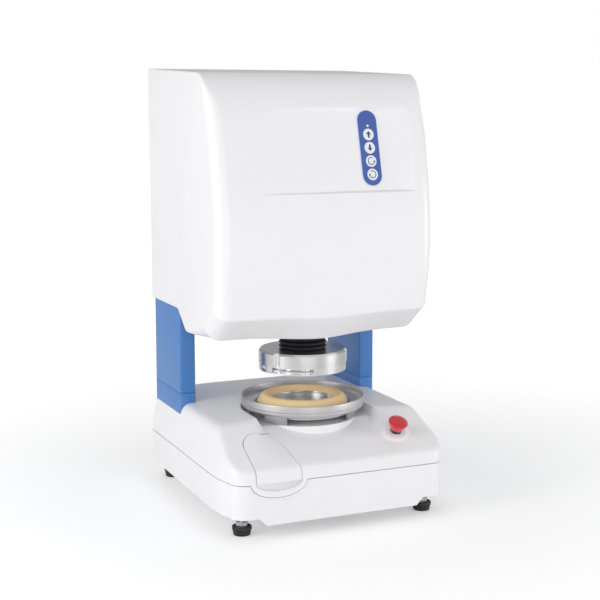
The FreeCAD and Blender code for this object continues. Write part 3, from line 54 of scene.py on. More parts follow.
SPINDLE_Y = -37.5
FRONT_Y, REAR_Y = -199.0, 199.0
HALF_WIDTH = 190.5

# Head
HEAD_HALF = 185.0
HEAD_WALL = 3.0
HEAD_SIDE_R = 21.0
HEAD_CHIN_R = 27.0
HEAD_TOP_R = 3.0
HEAD_UNDER_R = 5.0
BELLOWS_HOLE_R = 41.0
HEAD_UNDERSIDE = [(199.0, 320.6), (57.3, 320.6), (16.3, 289.0), (-86.6, 289.0), (-137.0, 327.6)]
HEAD_FRONT = [(-137.0, 327.6), (-146.3, 440.0), (-128.8, 582.7), (-96.0, 670.0), (-54.0, 703.5)]
HEAD_FRONT_ENDS = (-0.12, 1.0), (1.0, 0.06)
HEAD_TOP_REAR = (199.0, 715.5)
CHIN_HALF = 196.0
CHIN_POWER = 2.9
CHIN_EDGE_SHIFT = (-17.0, -5.1)
CHIN_CREASE_SHIFT = (-2.0, -4.0)
CHIN_BEHIND, CHIN_ABOVE = 95.0, 75.0

# Sunk panel and keypad
SUNK_LEFT, SUNK_RIGHT = -112.0, 152.0
SUNK_BOTTOM, SUNK_TOP = 505.0, 650.0
SUNK_EDGE = 518.0
SUNK_FRONT_Y = -144.3
SUNK_DEPTH = 11.0
SUNK_LEAN = 34.8
SUNK_SWEEP = 45.0
SUNK_CURL, SUNK_CURL_UP = 3.5, 22.0
SUNK_TOP_EASE, SUNK_EDGE_EASE = 9.0, 2.5
PAD_X, PAD_Z = 80.5, 586.5
PAD_WIDTH, PAD_LENGTH = 33.0, 120.0
PAD_BORDER = 1.5
KEY_PITCH = 21.3
KEY_TOP = 2.3
FIRST_KEY_UP = KEY_PITCH

# Base
SEAM_Z = 86.2
DECK_Z = 162.0
DECK_FRONT_Y = -93.0
LIP_Z = 105.0
COVER_LEAN = 15.0
COVER_SKIN = 3.0
DECK_FALL = 4.0
POCKET_Z = 147.2
POCKET_WALL_IN, POCKET_WALL_OUT = 95.5, 103.0
VALLEY_IN, VALLEY_OUT = 42.0, 152.0
COLLAR_R, COLLAR_Z = 88.5, 147.3
COLLAR_BORE, COLLAR_FOOT_Z = 14.0, 112.0
GUARD_R, GUARD_WALL, GUARD_TOP = 88.0, 5.0, 161.0
GUARD_BAND = 1.6
GUARD_BLOCKS = ((-157.5, -130.0), (-55.6, -28.0), (36.0, 63.0), (130.0, 157.0))
HATCH_X = -108.0
HATCH_LEFT, HATCH_RIGHT = -145.5, -70.5
HATCH_CORNERS = ((-147.0, -126.0, 27.0), (-84.0, -120.5, 29.0))
HATCH_GAP = 1.1
NOTCH_X, NOTCH_HALF, NOTCH_BOTTOM, NOTCH_R = -107.0, 47.2, 58.8, 25.2
TONGUE_HALF, TONGUE_FALL = 46.2, 23.5
SCOOP_FALL, SCOOP_DEPTH = 13.6, 9.0
STOP_X, STOP_Y = 114.5, -150.8
STOP_BOSS_H, STOP_BOSS_R = 3.0, 18.0
STOP_NECK_R, STOP_HEAD_R = 10.4, 16.0
STOP_SLEEVE_R = 9.4
STOP_SKIRT, STOP_CROWN = 7.4, 24.0

# Tray, trough and powder
TRAY_Z, TRAY_FLOOR, TRAY_BORE_R = 162.2, 2.8, 12.3
TRAY_SEAT_R, TRAY_SIDE_R, TRAY_RIM_R, TRAY_TOP_Z = 78.5, 100.8, 102.0, 182.2
TROUGH_OUT_R, TROUGH_IN_R, TROUGH_WALL = 76.2, 49.8, 2.0
TROUGH_OUT_Z, TROUGH_IN_Z = 171.3, 174.6
POWDER_TOP = 183.3
POWDER_RIDGE = 0.36
POWDER_TAN = (0.93, 0.69, 0.38)

# Feet
FOOT_X, FOOT_YS = 156.9, (-164.2, 181.5)
FOOT_R, FOOT_RIM_R, FOOT_DISH_R = 14.2, 15.4, 12.0
FOOT_H, FOOT_DISH = 14.0, 2.5
STUD_R, STUD_DEPTH = 4.1, 8.0

# Columns
COLUMN_IN, COLUMN_OUT, COLUMN_FRONT_Y = 152.7, 179.8, 61.8
BOOT_TOP, BOOT_FOOT = 175.5, 128.0
BOOT_SEAM = 0.6
COLUMN_TOP = 333.0

# Camera, fitted to the photograph
CAMERA_AT = (-820.5, -1929.7, 650.3)
CAMERA_TURN = (81.38, 0.03, -23.33)
CAMERA_LENS = 76.34
SENSOR = 36.0

# Light: each lamp's place, size and power in metres and watts, and the surround's grey by height
LAMPS = {"left": ((-2.3, -0.4, 0.9), (0, 0, 0.4), 1.4, 21.0),
         "right": ((2.3, -1.6, 0.3), (0, 0, 0.3), 1.4, 22.0),
         "front": ((-0.5, -3.0, 0.3), (0, 0, 0.35), 2.0, 19.0)}
SOFT_SKY = ((0.0, 0.90), (0.35, 0.72), (1.0, 0.36))
MIRRORED_SKY = ((0.0, 0.62), (0.10, 0.34), (0.30, 0.40), (0.42, 0.85), (0.62, 0.70), (1.0, 0.40))
FLOOR_HALF = 14.0
FLOOR_GLOW = {"From Min": 0.35, "From Max": 2.6, "To Min": 0.26, "To Max": 0.85}


# Materials

def node(tree, kind, sockets=None, **values):
    """A new shader node with its settings, and with plain values on some of its sockets."""
    made = tree.nodes.new(kind)
    for key, value in values.items():
        setattr(made, key, value)
    for socket, value in (sockets or {}).items():
        made.inputs[socket].default_value = value
    return made


def link(tree, source, output, target, socket):
    tree.links.new(source.outputs[output], target.inputs[socket])


def material(name, colour, rough, metallic=0.0, vary=0.02, vary_scale=9.0, rough_vary=0.04,
             grain=1400.0, bump=0.02, coat=0.0, stretch=(1.0, 1.0, 1.0)):
    """Principled surface whose colour, roughness and relief come from noise in the object's own space."""
    made = bpy.data.materials.new(name)
    made.use_nodes = True
    tree = made.node_tree
    shader = tree.nodes["Principled BSDF"]
    shader.inputs["Metallic"].default_value = metallic
    shader.inputs["Coat Weight"].default_value = coat
    shader.inputs["Coat Roughness"].default_value = 0.12
    place = node(tree, "ShaderNodeTexCoord")
    mapping = node(tree, "ShaderNodeMapping", {"Location": (0, -SPINDLE_Y * MM, 0), "Scale": stretch})
    link(tree, place, "Object", mapping, "Vector")
    clouds = node(tree, "ShaderNodeTexNoise", {"Scale": vary_scale, "Detail": 6.0})
    link(tree, mapping, "Vector", clouds, "Vector")
    ramp = node(tree, "ShaderNodeValToRGB")
    ramp.color_ramp.elements[0].position = 0.3
    ramp.color_ramp.elements[1].position = 0.7
    ramp.color_ramp.elements[0].color = [max(0.0, c * (1 - vary)) for c in colour] + [1]
    ramp.color_ramp.elements[1].color = [min(1.0, c * (1 + vary)) for c in colour] + [1]
    link(tree, clouds, "Fac", ramp, "Fac")
    link(tree, ramp, "Color", shader, "Base Color")
    shine = node(tree, "ShaderNodeMapRange", {"To Min": rough - rough_vary, "To Max": rough + rough_vary})
    link(tree, clouds, "Fac", shine, "Value")
    link(tree, shine, "Result", shader, "Roughness")
    fine = node(tree, "ShaderNodeTexNoise", {"Scale": grain, "Detail": 3.0})
    link(tree, mapping, "Vector", fine, "Vector")
    relief = node(tree, "ShaderNodeBump", {"Strength": bump, "Distance": 0.0004})
    link(tree, fine, "Fac", relief, "Height")
    link(tree, relief, "Normal", shader, "Normal")
    return made


def turned_material(name, colour, rough, ring_scale, ring_bump):
    """Metal turned on a lathe about the spindle: fine rings in its relief and shine."""
    made = material(name, colour, rough, metallic=1.0, vary=0.05, vary_scale=30.0, grain=2500.0,
                    bump=0.03)
    tree = made.node_tree
    shader = tree.nodes["Principled BSDF"]
    place = first_node(tree, "MAPPING")
    sockets = {"Scale": ring_scale, "Distortion": 2.0, "Detail": 3.0, "Detail Scale": 2.0}
    rings = node(tree, "ShaderNodeTexWave", sockets, wave_type="RINGS", rings_direction="Z")
    link(tree, place, "Vector", rings, "Vector")
    relief = node(tree, "ShaderNodeBump", {"Strength": ring_bump, "Distance": 0.0002})
    link(tree, rings, "Fac", relief, "Height")
    under = next(n for n in tree.nodes if n.type == "BUMP" and n != relief)
    link(tree, under, "Normal", relief, "Normal")
    link(tree, relief, "Normal", shader, "Normal")
    return made


def first_node(tree, kind):
    return next(n for n in tree.nodes if n.type == kind)


def powder_material():
    """Fine tan powder: grains of slightly different depth of tint with a crumbly relief."""
    made = material("powder_tan", POWDER_TAN, 0.9, vary=0.06, vary_scale=260.0, grain=1300.0, bump=0.7)
    tree = made.node_tree
    shader = tree.nodes["Principled BSDF"]
    cells = node(tree, "ShaderNodeTexVoronoi", {"Scale": 900.0})
    link(tree, first_node(tree, "MAPPING"), "Vector", cells, "Vector")
    ramp = first_node(tree, "VALTORGB")
    grains = node(tree, "ShaderNodeMapRange", {"From Max": 0.8, "To Min": 0.94, "To Max": 1.06})
    link(tree, cells, "Distance", grains, "Value")
    tint = node(tree, "ShaderNodeMix", {"Factor": 1.0}, data_type="RGBA", blend_type="MULTIPLY")
    link(tree, ramp, "Color", tint, "A")
    link(tree, grains, "Result", tint, "B")
    link(tree, tint, "Result", shader, "Base Color")
    return made


MOULDED = {"vary": 0.008, "grain": 700.0, "bump": 0.035}
PRINTED = {"vary_scale": 80.0, "grain": 2600.0}
WHITE = material("white_moulding", (0.875, 0.872, 0.89), 0.34, coat=0.15, **MOULDED)
PAN_WHITE = material("pan_white", (0.88, 0.877, 0.895), 0.36, coat=0.1, **MOULDED)
BLUE = material("column_blue", (0.055, 0.205, 0.53), 0.36, vary=0.03, grain=900.0, bump=0.04, coat=0.2)
BLACK_RUBBER = material("black_rubber", (0.012, 0.012, 0.014), 0.5, vary=0.2, vary_scale=60.0,
                        grain=1800.0, bump=0.15)
FOOT_RUBBER = material("foot_rubber", (0.02, 0.02, 0.022), 0.45, vary=0.2, vary_scale=60.0,
                       grain=1500.0, bump=0.12)
DARK = material("dark_moulding", (0.03, 0.03, 0.033), 0.5, vary=0.1, vary_scale=40.0,
                grain=1500.0, bump=0.1)
LID_STEEL = turned_material("lid_steel", (0.72, 0.72, 0.72), 0.24, 900.0, 0.05)
DISH_METAL = turned_material("dish_metal", (0.62, 0.61, 0.61), 0.46, 700.0, 0.04)
RIM_METAL = turned_material("trough_metal", (0.80, 0.80, 0.80), 0.2, 900.0, 0.03)
GUARD_GREY = material("guard_grey", (0.36, 0.36, 0.37), 0.4, metallic=0.3, vary=0.03,
                      grain=1200.0, bump=0.05)
STEEL = material("machined_steel", (0.55, 0.555, 0.56), 0.32, metallic=1.0, vary=0.06, vary_scale=50.0,
                 grain=900.0, bump=0.08, stretch=(1.0, 1.0, 0.05))
ALUMINIUM = material("milled_aluminium", (0.66, 0.665, 0.67), 0.38, metallic=1.0, vary=0.05,
                     vary_scale=40.0, grain=800.0, bump=0.08, stretch=(0.06, 1.0, 1.0))
BRASS = material("machined_brass", (0.70, 0.50, 0.22), 0.3, metallic=1.0, vary=0.06,
                 vary_scale=50.0, grain=900.0)
BOARD = material("board_green", (0.02, 0.16, 0.06), 0.4, vary=0.12, vary_scale=220.0, grain=900.0, bump=0.2)
STOP_RED = material("stop_red", (0.62, 0.022, 0.03), 0.26, vary=0.05, grain=900.0, bump=0.03, coat=0.4)
PAD_BLUE = material("pad_blue", (0.058, 0.112, 0.40), 0.42, vary=0.03, bump=0.08, **PRINTED)
PAD_PALE = material("pad_pale", (0.72, 0.80, 0.92), 0.42, vary=0.02, bump=0.06, **PRINTED)
KEY_WHITE = material("key_white", (0.82, 0.86, 0.93), 0.4, vary=0.02, bump=0.06, **PRINTED)
INK = material("key_ink", (0.05, 0.07, 0.12), 0.5, vary=0.1, vary_scale=200.0, grain=2600.0, bump=0.05)
LENS = material("lens_pale", (0.75, 0.86, 0.80), 0.2, vary=0.03, vary_scale=200.0, grain=2600.0, bump=0.02)
POWDER = powder_material()


# Meshes

def placed(name, data):
    """A new object in the scene for a mesh, a lamp or a camera."""
    made = bpy.data.objects.new(name, data)
    bpy.context.scene.collection.objects.link(made)
    return made


def object_from(name, points, faces, surface, body, sharp=32.0):
    """A finished piece from points in millimetres: smooth, with edges kept crisp over an angle."""
    mesh = bpy.data.meshes.new(name)
    mesh.from_pydata([tuple(c * MM for c in p) for p in points], [], [tuple(f) for f in faces])
    return finished(placed(name, mesh), surface, body, sharp)


def finished(made, surface, body, sharp=32.0):
    mesh = made.data
    mesh.validate()
    mesh.materials.clear()
    mesh.materials.append(surface)
    mesh.shade_smooth()
    mesh.set_sharp_from_angle(angle=math.radians(sharp))
    if body:
        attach(made, body)
    return made


def grid_faces(rows, columns, wrap_rows=False, wrap_columns=False):
    """Quads over points stored row after row."""
    faces = []
    for i in range(rows if wrap_rows else rows - 1):
        for j in range(columns if wrap_columns else columns - 1):
            a, b = i, (i + 1) % rows
            c, d = j, (j + 1) % columns
            faces.append((a * columns + c, a * columns + d, b * columns + d, b * columns + c))
    return faces


def rounded(corners, steps=6):
    """A path through corners (a, b, radius) with each corner turned into an arc."""
    path = []
    count = len(corners)
    for i, (a, b, r) in enumerate(corners):
        here = Vector((a, b))
        if r <= 0:
            path.append(here)
            continue
        before = (Vector(corners[i - 1][:2]) - here).normalized()
        after = (Vector(corners[(i + 1) % count][:2]) - here).normalized()
        half = before.angle(after) / 2
        middle = here + (before + after).normalized() * (r / math.sin(half))
        start = here + before * (r / math.tan(half)) - middle
        stop = here + after * (r / math.tan(half)) - middle
        turn = start.angle_signed(stop)
        for k in range(steps + 1):
            c, s = math.cos(-turn * k / steps), math.sin(-turn * k / steps)
            path.append(middle + Vector((c * start.x - s * start.y, s * start.x + c * start.y)))
    return path


def lathe(name, corners, surface, body, place=None, segments=160, steps=5):
    """A closed outline (radius, height, corner radius) turned about its place's own upright axis."""
    path = rounded(corners, steps)
    place = place or Matrix.Translation((0, SPINDLE_Y, 0))
    points = []
    for i in range(segments):
        a = 2 * math.pi * i / segments
        points += [place @ Vector((p.x * math.cos(a), p.x * math.sin(a), p.y)) for p in path]
    made = object_from(name, points, grid_faces(segments, len(path), True, True), surface, None)
    weld(made)
    return finished(made, surface, body)


def prism_object(name, outline, low, high, surface=None, place=None):
    """An outline (x, y) pushed from one height to another, in the frame or in a place of its own."""
    n = len(outline)
    points = [(p[0], p[1], h) for h in (low, high) for p in outline]
    points = [place @ Vector(p) for p in points] if place else points
    faces = [tuple(range(n - 1, -1, -1)), tuple(range(n, 2 * n))]
    faces += [(i, (i + 1) % n, n + (i + 1) % n, n + i) for i in range(n)]
    return object_from(name, points, faces, surface or DARK, None)


def stadium_outline(width, length, steps=20):
    """Outline of a long slot shape, its length along the second axis."""
    r = width / 2
    points = []
    for end in (1, -1):
        for k in range(steps + 1):
            a = math.pi * k / steps + (0 if end > 0 else math.pi)
            points.append((r * math.cos(a), end * (length / 2 - r) + r * math.sin(a)))
    return points


def cut(target, tool, operation="DIFFERENCE"):
    """Boolean with a tool that is then thrown away."""
    change = target.modifiers.new("cut", "BOOLEAN")
    change.operation = operation
    change.object = tool
    change.solver = "EXACT"
    apply_modifiers(target)
    bpy.data.objects.remove(tool)


def apply_modifiers(target):
    bpy.context.view_layer.update()
    shown = target.evaluated_get(bpy.context.evaluated_depsgraph_get())
    mesh = bpy.data.meshes.new_from_object(shown)
    target.modifiers.clear()
    target.data = mesh


def thicken(target, depth):
    """Gives an open skin its wall, inwards."""
    skin = target.modifiers.new("wall", "SOLIDIFY")
    skin.thickness = depth * MM
    skin.offset = -1.0
    apply_modifiers(target)


def bevelled(target, width, segments=2, angle=35.0):
    soft = target.modifiers.new("edges", "BEVEL")
    soft.width = width * MM
    soft.segments = segments
    soft.limit_method = "ANGLE"
    soft.angle_limit = math.radians(angle)
    apply_modifiers(target)


def smoothstep(low, high, value):
    t = np.clip((value - low) / (high - low), 0.0, 1.0)
    return t * t * (3 - 2 * t)


def smooth_max(a, b, width):
    h = np.maximum(width - np.abs(a - b), 0.0) / width
    return np.maximum(a, b) + h * h * width / 4


# Head shell

def front_curve():
    """The bellied front as a cubic spline through its listed points, closely sampled."""
    knots = np.array(HEAD_FRONT)
    chord = np.hypot(*np.diff(knots, axis=0).T)
    t = np.concatenate([[0.0], np.cumsum(chord)])
    n = len(knots)
    system = np.zeros((n, n))
    right = np.zeros((n, 2))
    system[0, 0] = system[-1, -1] = 1.0
    right[0], right[-1] = HEAD_FRONT_ENDS
    for i in range(1, n - 1):
        system[i, i - 1] = chord[i]
        system[i, i] = 2 * (chord[i - 1] + chord[i])
        system[i, i + 1] = chord[i - 1]
        right[i] = 3 * (chord[i - 1] * (knots[i + 1] - knots[i]) / chord[i]
                        + chord[i] * (knots[i] - knots[i - 1]) / chord[i - 1])
    slope = np.linalg.solve(system, right)
    samples = []
    for i in range(n - 1):
        for u in np.linspace(0, 1, 90, endpoint=i == n - 2):
            h00, h10 = 2 * u ** 3 - 3 * u ** 2 + 1, u ** 3 - 2 * u ** 2 + u
            h01, h11 = 3 * u ** 2 - 2 * u ** 3, u ** 3 - u ** 2
            samples.append(h00 * knots[i] + h10 * chord[i] * slope[i]
                           + h01 * knots[i + 1] + h11 * chord[i] * slope[i + 1])
    return np.array(samples)


def spaced(low, high, coarse, marks, fine, reach):
    """Values from low to high, closer together near the marked ones and exactly on them."""
    values = [low]
    while values[-1] < high:
        near = min([abs(values[-1] - m) for m in marks], default=1e9)
        values.append(values[-1] + (fine if near < reach else coarse))
    values[-1] = high
    values = np.array(values)
    for m in marks:
        values[np.argmin(np.abs(values - m))] = m
    return np.unique(values)


def head_profile():
    """Side outline of the head from its lower rear corner forward and up over the top."""
    front = front_curve()
    under = rounded([(y, z, r) for (y, z), r in zip(HEAD_UNDERSIDE, (0, 9, 9, 10, 0))], 8)
    under = np.array([tuple(p) for p in under])
    turn = rounded([(*HEAD_UNDERSIDE[3], 0), (*HEAD_UNDERSIDE[4], 7), (*front[12], 0)], 8)[1:-1]
    turn = np.array([tuple(p) for p in turn])
    path = under[:-1]
    steps = []
    for a, b in zip(path[:-1], path[1:]):
        count = max(1, int(np.hypot(*(b - a)) / 6))
        steps += [a + (b - a) * k / count for k in range(count)]
    steps.append(path[-1])
    last, first = path[-1], turn[0]
    count = max(2, int(np.hypot(*(first - last)) / 5))
    steps += [last + (first - last) * k / count for k in range(1, count)]
    steps += list(turn)
    start = turn[-1]
    front = front[front[:, 1] > start[1] + 1.0]
    front = np.vstack([start, front])
    run = np.concatenate([[0.0], np.cumsum(np.hypot(*np.diff(front, axis=0).T))])
    marks = [np.interp(z, front[:, 1], run) for z in (SUNK_EDGE, SUNK_TOP)]
    fine = spaced(0.0, run[-1], 5.0, marks, 0.9, 12.0)
    front = np.stack([np.interp(fine, run, front[:, k]) for k in (0, 1)], axis=1)
    steps += list(front[1:])
    top = np.array(HEAD_TOP_REAR)
    count = 24
    steps += [front[-1] + (top - front[-1]) * k / count for k in range(1, count + 1)]
    return np.array(steps)


def sunk_floor(x, z):
    across = (x - SUNK_LEFT) / (SUNK_RIGHT - SUNK_LEFT)
    up = (z - SUNK_BOTTOM) / (SUNK_TOP - SUNK_BOTTOM)
    return SUNK_FRONT_Y + SUNK_DEPTH * across + SUNK_LEAN * up


def sunk_curl(z):
    """How much deeper the panel's floor runs where it curls in towards its lower edge."""
    return SUNK_CURL * max(0.0, 1.0 - (z - SUNK_EDGE) / SUNK_CURL_UP) ** 2


def ease_out(value):
    t = np.clip(value, 0.0, 1.0)
    return 1 - (1 - t) ** 2


def sunk_in(x, y, z):
    """Depth position of the front surface after the panel's recess is taken from it."""
    if not (SUNK_EDGE < z < SUNK_TOP and x < SUNK_RIGHT):
        return y
    share = ease_out((SUNK_RIGHT - x) / SUNK_SWEEP) * ease_out((z - SUNK_EDGE) / SUNK_EDGE_EASE)
    share *= ease_out((SUNK_TOP - z) / SUNK_TOP_EASE)
    share *= smoothstep(SUNK_LEFT - 10, SUNK_LEFT + SUNK_SWEEP, x)
    floor = max(sunk_floor(x, z), y) + sunk_curl(z)
    return y + (float(smooth_max(y, floor, 1.0)) - y) * float(share)


def chin_shares(path):
    """How much each point of the side outline follows the chin's lower edge and its crease."""
    run = np.concatenate([[0.0], np.cumsum(np.hypot(*np.diff(path, axis=0).T))])
    edge = run[np.argmin(np.hypot(*(path - np.array(HEAD_UNDERSIDE[3])).T))]
    crease = run[np.argmin(np.hypot(*(path - np.array(HEAD_UNDERSIDE[4])).T))]
    behind = smoothstep(edge - CHIN_BEHIND, edge - 12.0, run)
    edge_share = np.where(run < edge, behind, np.clip((crease - run) / (crease - edge), 0, 1))
    crease_share = np.where(run < crease, np.clip((run - edge) / (crease - edge), 0, 1),
                            smoothstep(crease + CHIN_ABOVE, crease + 5.0, run))
    return edge_share, crease_share


def softened(normal, path, reach):
    """Normals averaged along the outline, so that an inset of it has no folds."""
    run = np.concatenate([[0.0], np.cumsum(np.hypot(*np.diff(path, axis=0).T))])
    near = np.clip(1 - np.abs(run[:, None] - run[None]) / reach, 0, None) * np.gradient(run)[None]
    soft = near @ normal
    return soft / np.hypot(*soft.T)[:, None]


def head_shell():
    """Swept shell: the side outline carried across, with rounded flanks, chin and sunk panel."""
    path = head_profile()
    tangent = np.gradient(path, axis=0)
    tangent /= np.hypot(*tangent.T)[:, None]
    normal = np.stack([-tangent[:, 1], tangent[:, 0]], axis=1)
    y, z = path[:, 0], path[:, 1]
    inwards = softened(normal, path, 30.0)
    chin = HEAD_UNDER_R + (HEAD_CHIN_R - HEAD_UNDER_R) * smoothstep(5.0, -75.0, y)
    up_front = smoothstep(HEAD_UNDERSIDE[4][1] + 5, HEAD_UNDERSIDE[4][1] + 80, z)
    radius = np.where((y > 0) & (z < 400), HEAD_UNDER_R, chin + (HEAD_SIDE_R - chin) * up_front)
    top_share = smoothstep(HEAD_FRONT[3][1] - 25, HEAD_FRONT[4][1] - 4, z)
    radius = radius + (HEAD_TOP_R - radius) * top_share
    edge_share, crease_share = chin_shares(path)
    kept = SUNK_RIGHT + 2.0
    flat = spaced(-178.0, 178.0, 4.0, [SUNK_RIGHT], 1.2, 8.0)
    outside = np.clip(np.abs(flat) - kept, 0, None) / (178.0 - kept)
    quarter = np.linspace(0, math.pi / 2, 9)
    points = []
    for i in range(len(path)):
        r = radius[i]
        rim = [(-(HEAD_HALF - r + r * math.sin(a)), r * (1 - math.cos(a))) for a in quarter[::-1]]
        rim_right = [(-x, d) for x, d in rim[::-1]]
        pressed = np.sign(flat) * (kept + outside * (HEAD_HALF - r - 1.5 - kept))
        between = np.where(outside > 0, pressed, flat)
        for x, sink in rim + [(x, 0.0) for x in between] + rim_right:
            bell = (0.5 + 0.5 * math.cos(math.pi * min(1.0, abs(x) / CHIN_HALF))) ** CHIN_POWER
            py = y[i] - inwards[i, 0] * sink
            pz = z[i] - inwards[i, 1] * sink
            py += bell * (edge_share[i] * CHIN_EDGE_SHIFT[0] + crease_share[i] * CHIN_CREASE_SHIFT[0])
            pz += bell * (edge_share[i] * CHIN_EDGE_SHIFT[1] + crease_share[i] * CHIN_CREASE_SHIFT[1])
            points.append((x, sunk_in(x, py, pz), pz))
    columns = len(flat) + 2 * len(quarter)
    rows = len(path)
    faces = [f[::-1] for f in grid_faces(rows, columns)]
    faces.append(tuple(i * columns for i in range(rows))[::-1])
    faces.append(tuple(i * columns + columns - 1 for i in range(rows)))
    shell = object_from("head_moulding", points, faces, WHITE, None)
    weld(shell)
    thicken(shell, HEAD_WALL)
    turns = np.linspace(0, 2 * math.pi, 72, False)
    hole = [(BELLOWS_HOLE_R * math.cos(a), SPINDLE_Y + BELLOWS_HOLE_R * math.sin(a)) for a in turns]
    cut(shell, prism_object("bellows_hole", hole, 270, 296))
    finished(shell, WHITE, "housing", 38.0)
    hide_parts("head_shell")
    return shell


def weld(target, distance=0.02):
    mesh = bmesh.new()
    mesh.from_mesh(target.data)
    bmesh.ops.remove_doubles(mesh, verts=mesh.verts, dist=distance * MM)
    bmesh.ops.recalc_face_normals(mesh, faces=mesh.faces)
    mesh.to_mesh(target.data)
    mesh.free()


# Base cover

def plan_outline(inset=0.0, steps=14):
    """The base seen from above: bowed sides into soft front corners, small rear corners."""
    side, front, rear = HALF_WIDTH - inset, FRONT_Y + inset, REAR_Y - inset
    bend = Vector((side - 9.5, -174.0 + inset * 0.3))
    flat = 156.0 - inset * 0.4
    half = [Vector((0.0, front)), Vector((flat, front))]
    knee = Vector((bend.x - (bend.x - flat) * 0.26, front + (bend.y - front) * 0.34))
    half += through(Vector((flat, front)), knee, bend, steps)
    bow = Vector((side - 9.5 * 0.27, (-100.0 + bend.y) / 2 - 4))
    half += through(bend, bow, Vector((side, -100.0)), steps)
    for k in range(steps + 1):
        a = math.pi / 2 * k / steps
        half.append(Vector((side - 8 + 8 * math.cos(a), rear - 8 + 8 * math.sin(a))))
    half.append(Vector((0.0, rear)))
    left = [Vector((-p.x, p.y)) for p in half[::-1][1:-1]]
    return half + left


def through(a, b, c, steps):
    """Points after a on the arc through a, b and c."""
    bx, by = b.x - a.x, b.y - a.y
    cx, cy = c.x - a.x, c.y - a.y
    d = 2 * (bx * cy - by * cx)
    ux = (cy * (bx * bx + by * by) - by * (cx * cx + cy * cy)) / d
    uy = (bx * (cx * cx + cy * cy) - cx * (bx * bx + by * by)) / d
    centre = Vector((a.x + ux, a.y + uy))
    start, stop = a - centre, c - centre
    turn = math.atan2(start.x * stop.y - start.y * stop.x, start.dot(stop))
    points = []
    for k in range(1, steps + 1):
        co, si = math.cos(turn * k / steps), math.sin(turn * k / steps)
        points.append(centre + Vector((co * start.x - si * start.y, si * start.x + co * start.y)))
    return points


def outline_distance(x, y, outline):
    """Signed distance to a closed outline, negative inside."""
    best = np.full(x.shape, 1e9)
    inside = np.zeros(x.shape, bool)
    for a, b in zip(outline, outline[1:] + outline[:1]):
        dx, dy = b.x - a.x, b.y - a.y
        length = dx * dx + dy * dy
        if length < 1e-9:
            continue
        t = np.clip(((x - a.x) * dx + (y - a.y) * dy) / length, 0, 1)
        best = np.minimum(best, np.hypot(x - a.x - t * dx, y - a.y - t * dy))
        if dy != 0:
            crosses = (a.y > y) != (b.y > y)
            inside ^= crosses & (x < a.x + (y - a.y) * dx / dy)
    return np.where(inside, -best, best)


def slope_height(y):
    return DECK_Z + (y - DECK_FRONT_Y) * (DECK_Z - LIP_Z) / (DECK_FRONT_Y - FRONT_Y)


def top_height(x, y):
    """Height of the cover's upper surface, before its outer edge is rounded off."""
    crown = DECK_Z - DECK_FALL * smoothstep(70.0, 185.0, np.abs(x))
    side = -smooth_max(-crown, -slope_height(y), 5.0)
    share = np.clip((DECK_FRONT_Y - y) / (DECK_FRONT_Y - FRONT_Y), 0, 1)
    floor = np.where(y > DECK_FRONT_Y, POCKET_Z, POCKET_Z - (POCKET_Z - LIP_Z) * share)
    around = np.where(y < SPINDLE_Y, np.abs(x), np.hypot(x, y - SPINDLE_Y))
    inner = POCKET_WALL_IN + (VALLEY_IN - POCKET_WALL_IN) * share
    outer = POCKET_WALL_OUT + (VALLEY_OUT - POCKET_WALL_OUT) * share
    rise = (around - inner) / (outer - inner)
    soft = np.sqrt(share)
    rise = np.clip(rise, 0, 1) * (1 - soft) + smoothstep(0.0, 1.0, rise) * soft
    top = floor + (side - floor) * rise
    boss = np.hypot(x - STOP_X, (y - STOP_Y) * 1.13)
    return top + STOP_BOSS_H * smoothstep(STOP_BOSS_R + 6.0, STOP_BOSS_R, boss)


OUTLINE = plan_outline()


def cover_field(x, y, z):
    """Less than zero inside the cover's filled body."""
    lean = COVER_LEAN * (z - SEAM_Z) / (DECK_Z - SEAM_Z)
    side = (np.abs(x) - HALF_WIDTH + lean) * 0.98
    walls = smooth_max(outline_distance(x, y, OUTLINE), side, 3.0)
    top = (z - top_height(x, y)) * 0.88
    edge = 8.0 + 7.0 * smoothstep(FRONT_Y + 10, FRONT_Y + 90, y)
    return smooth_max(walls, top, edge)


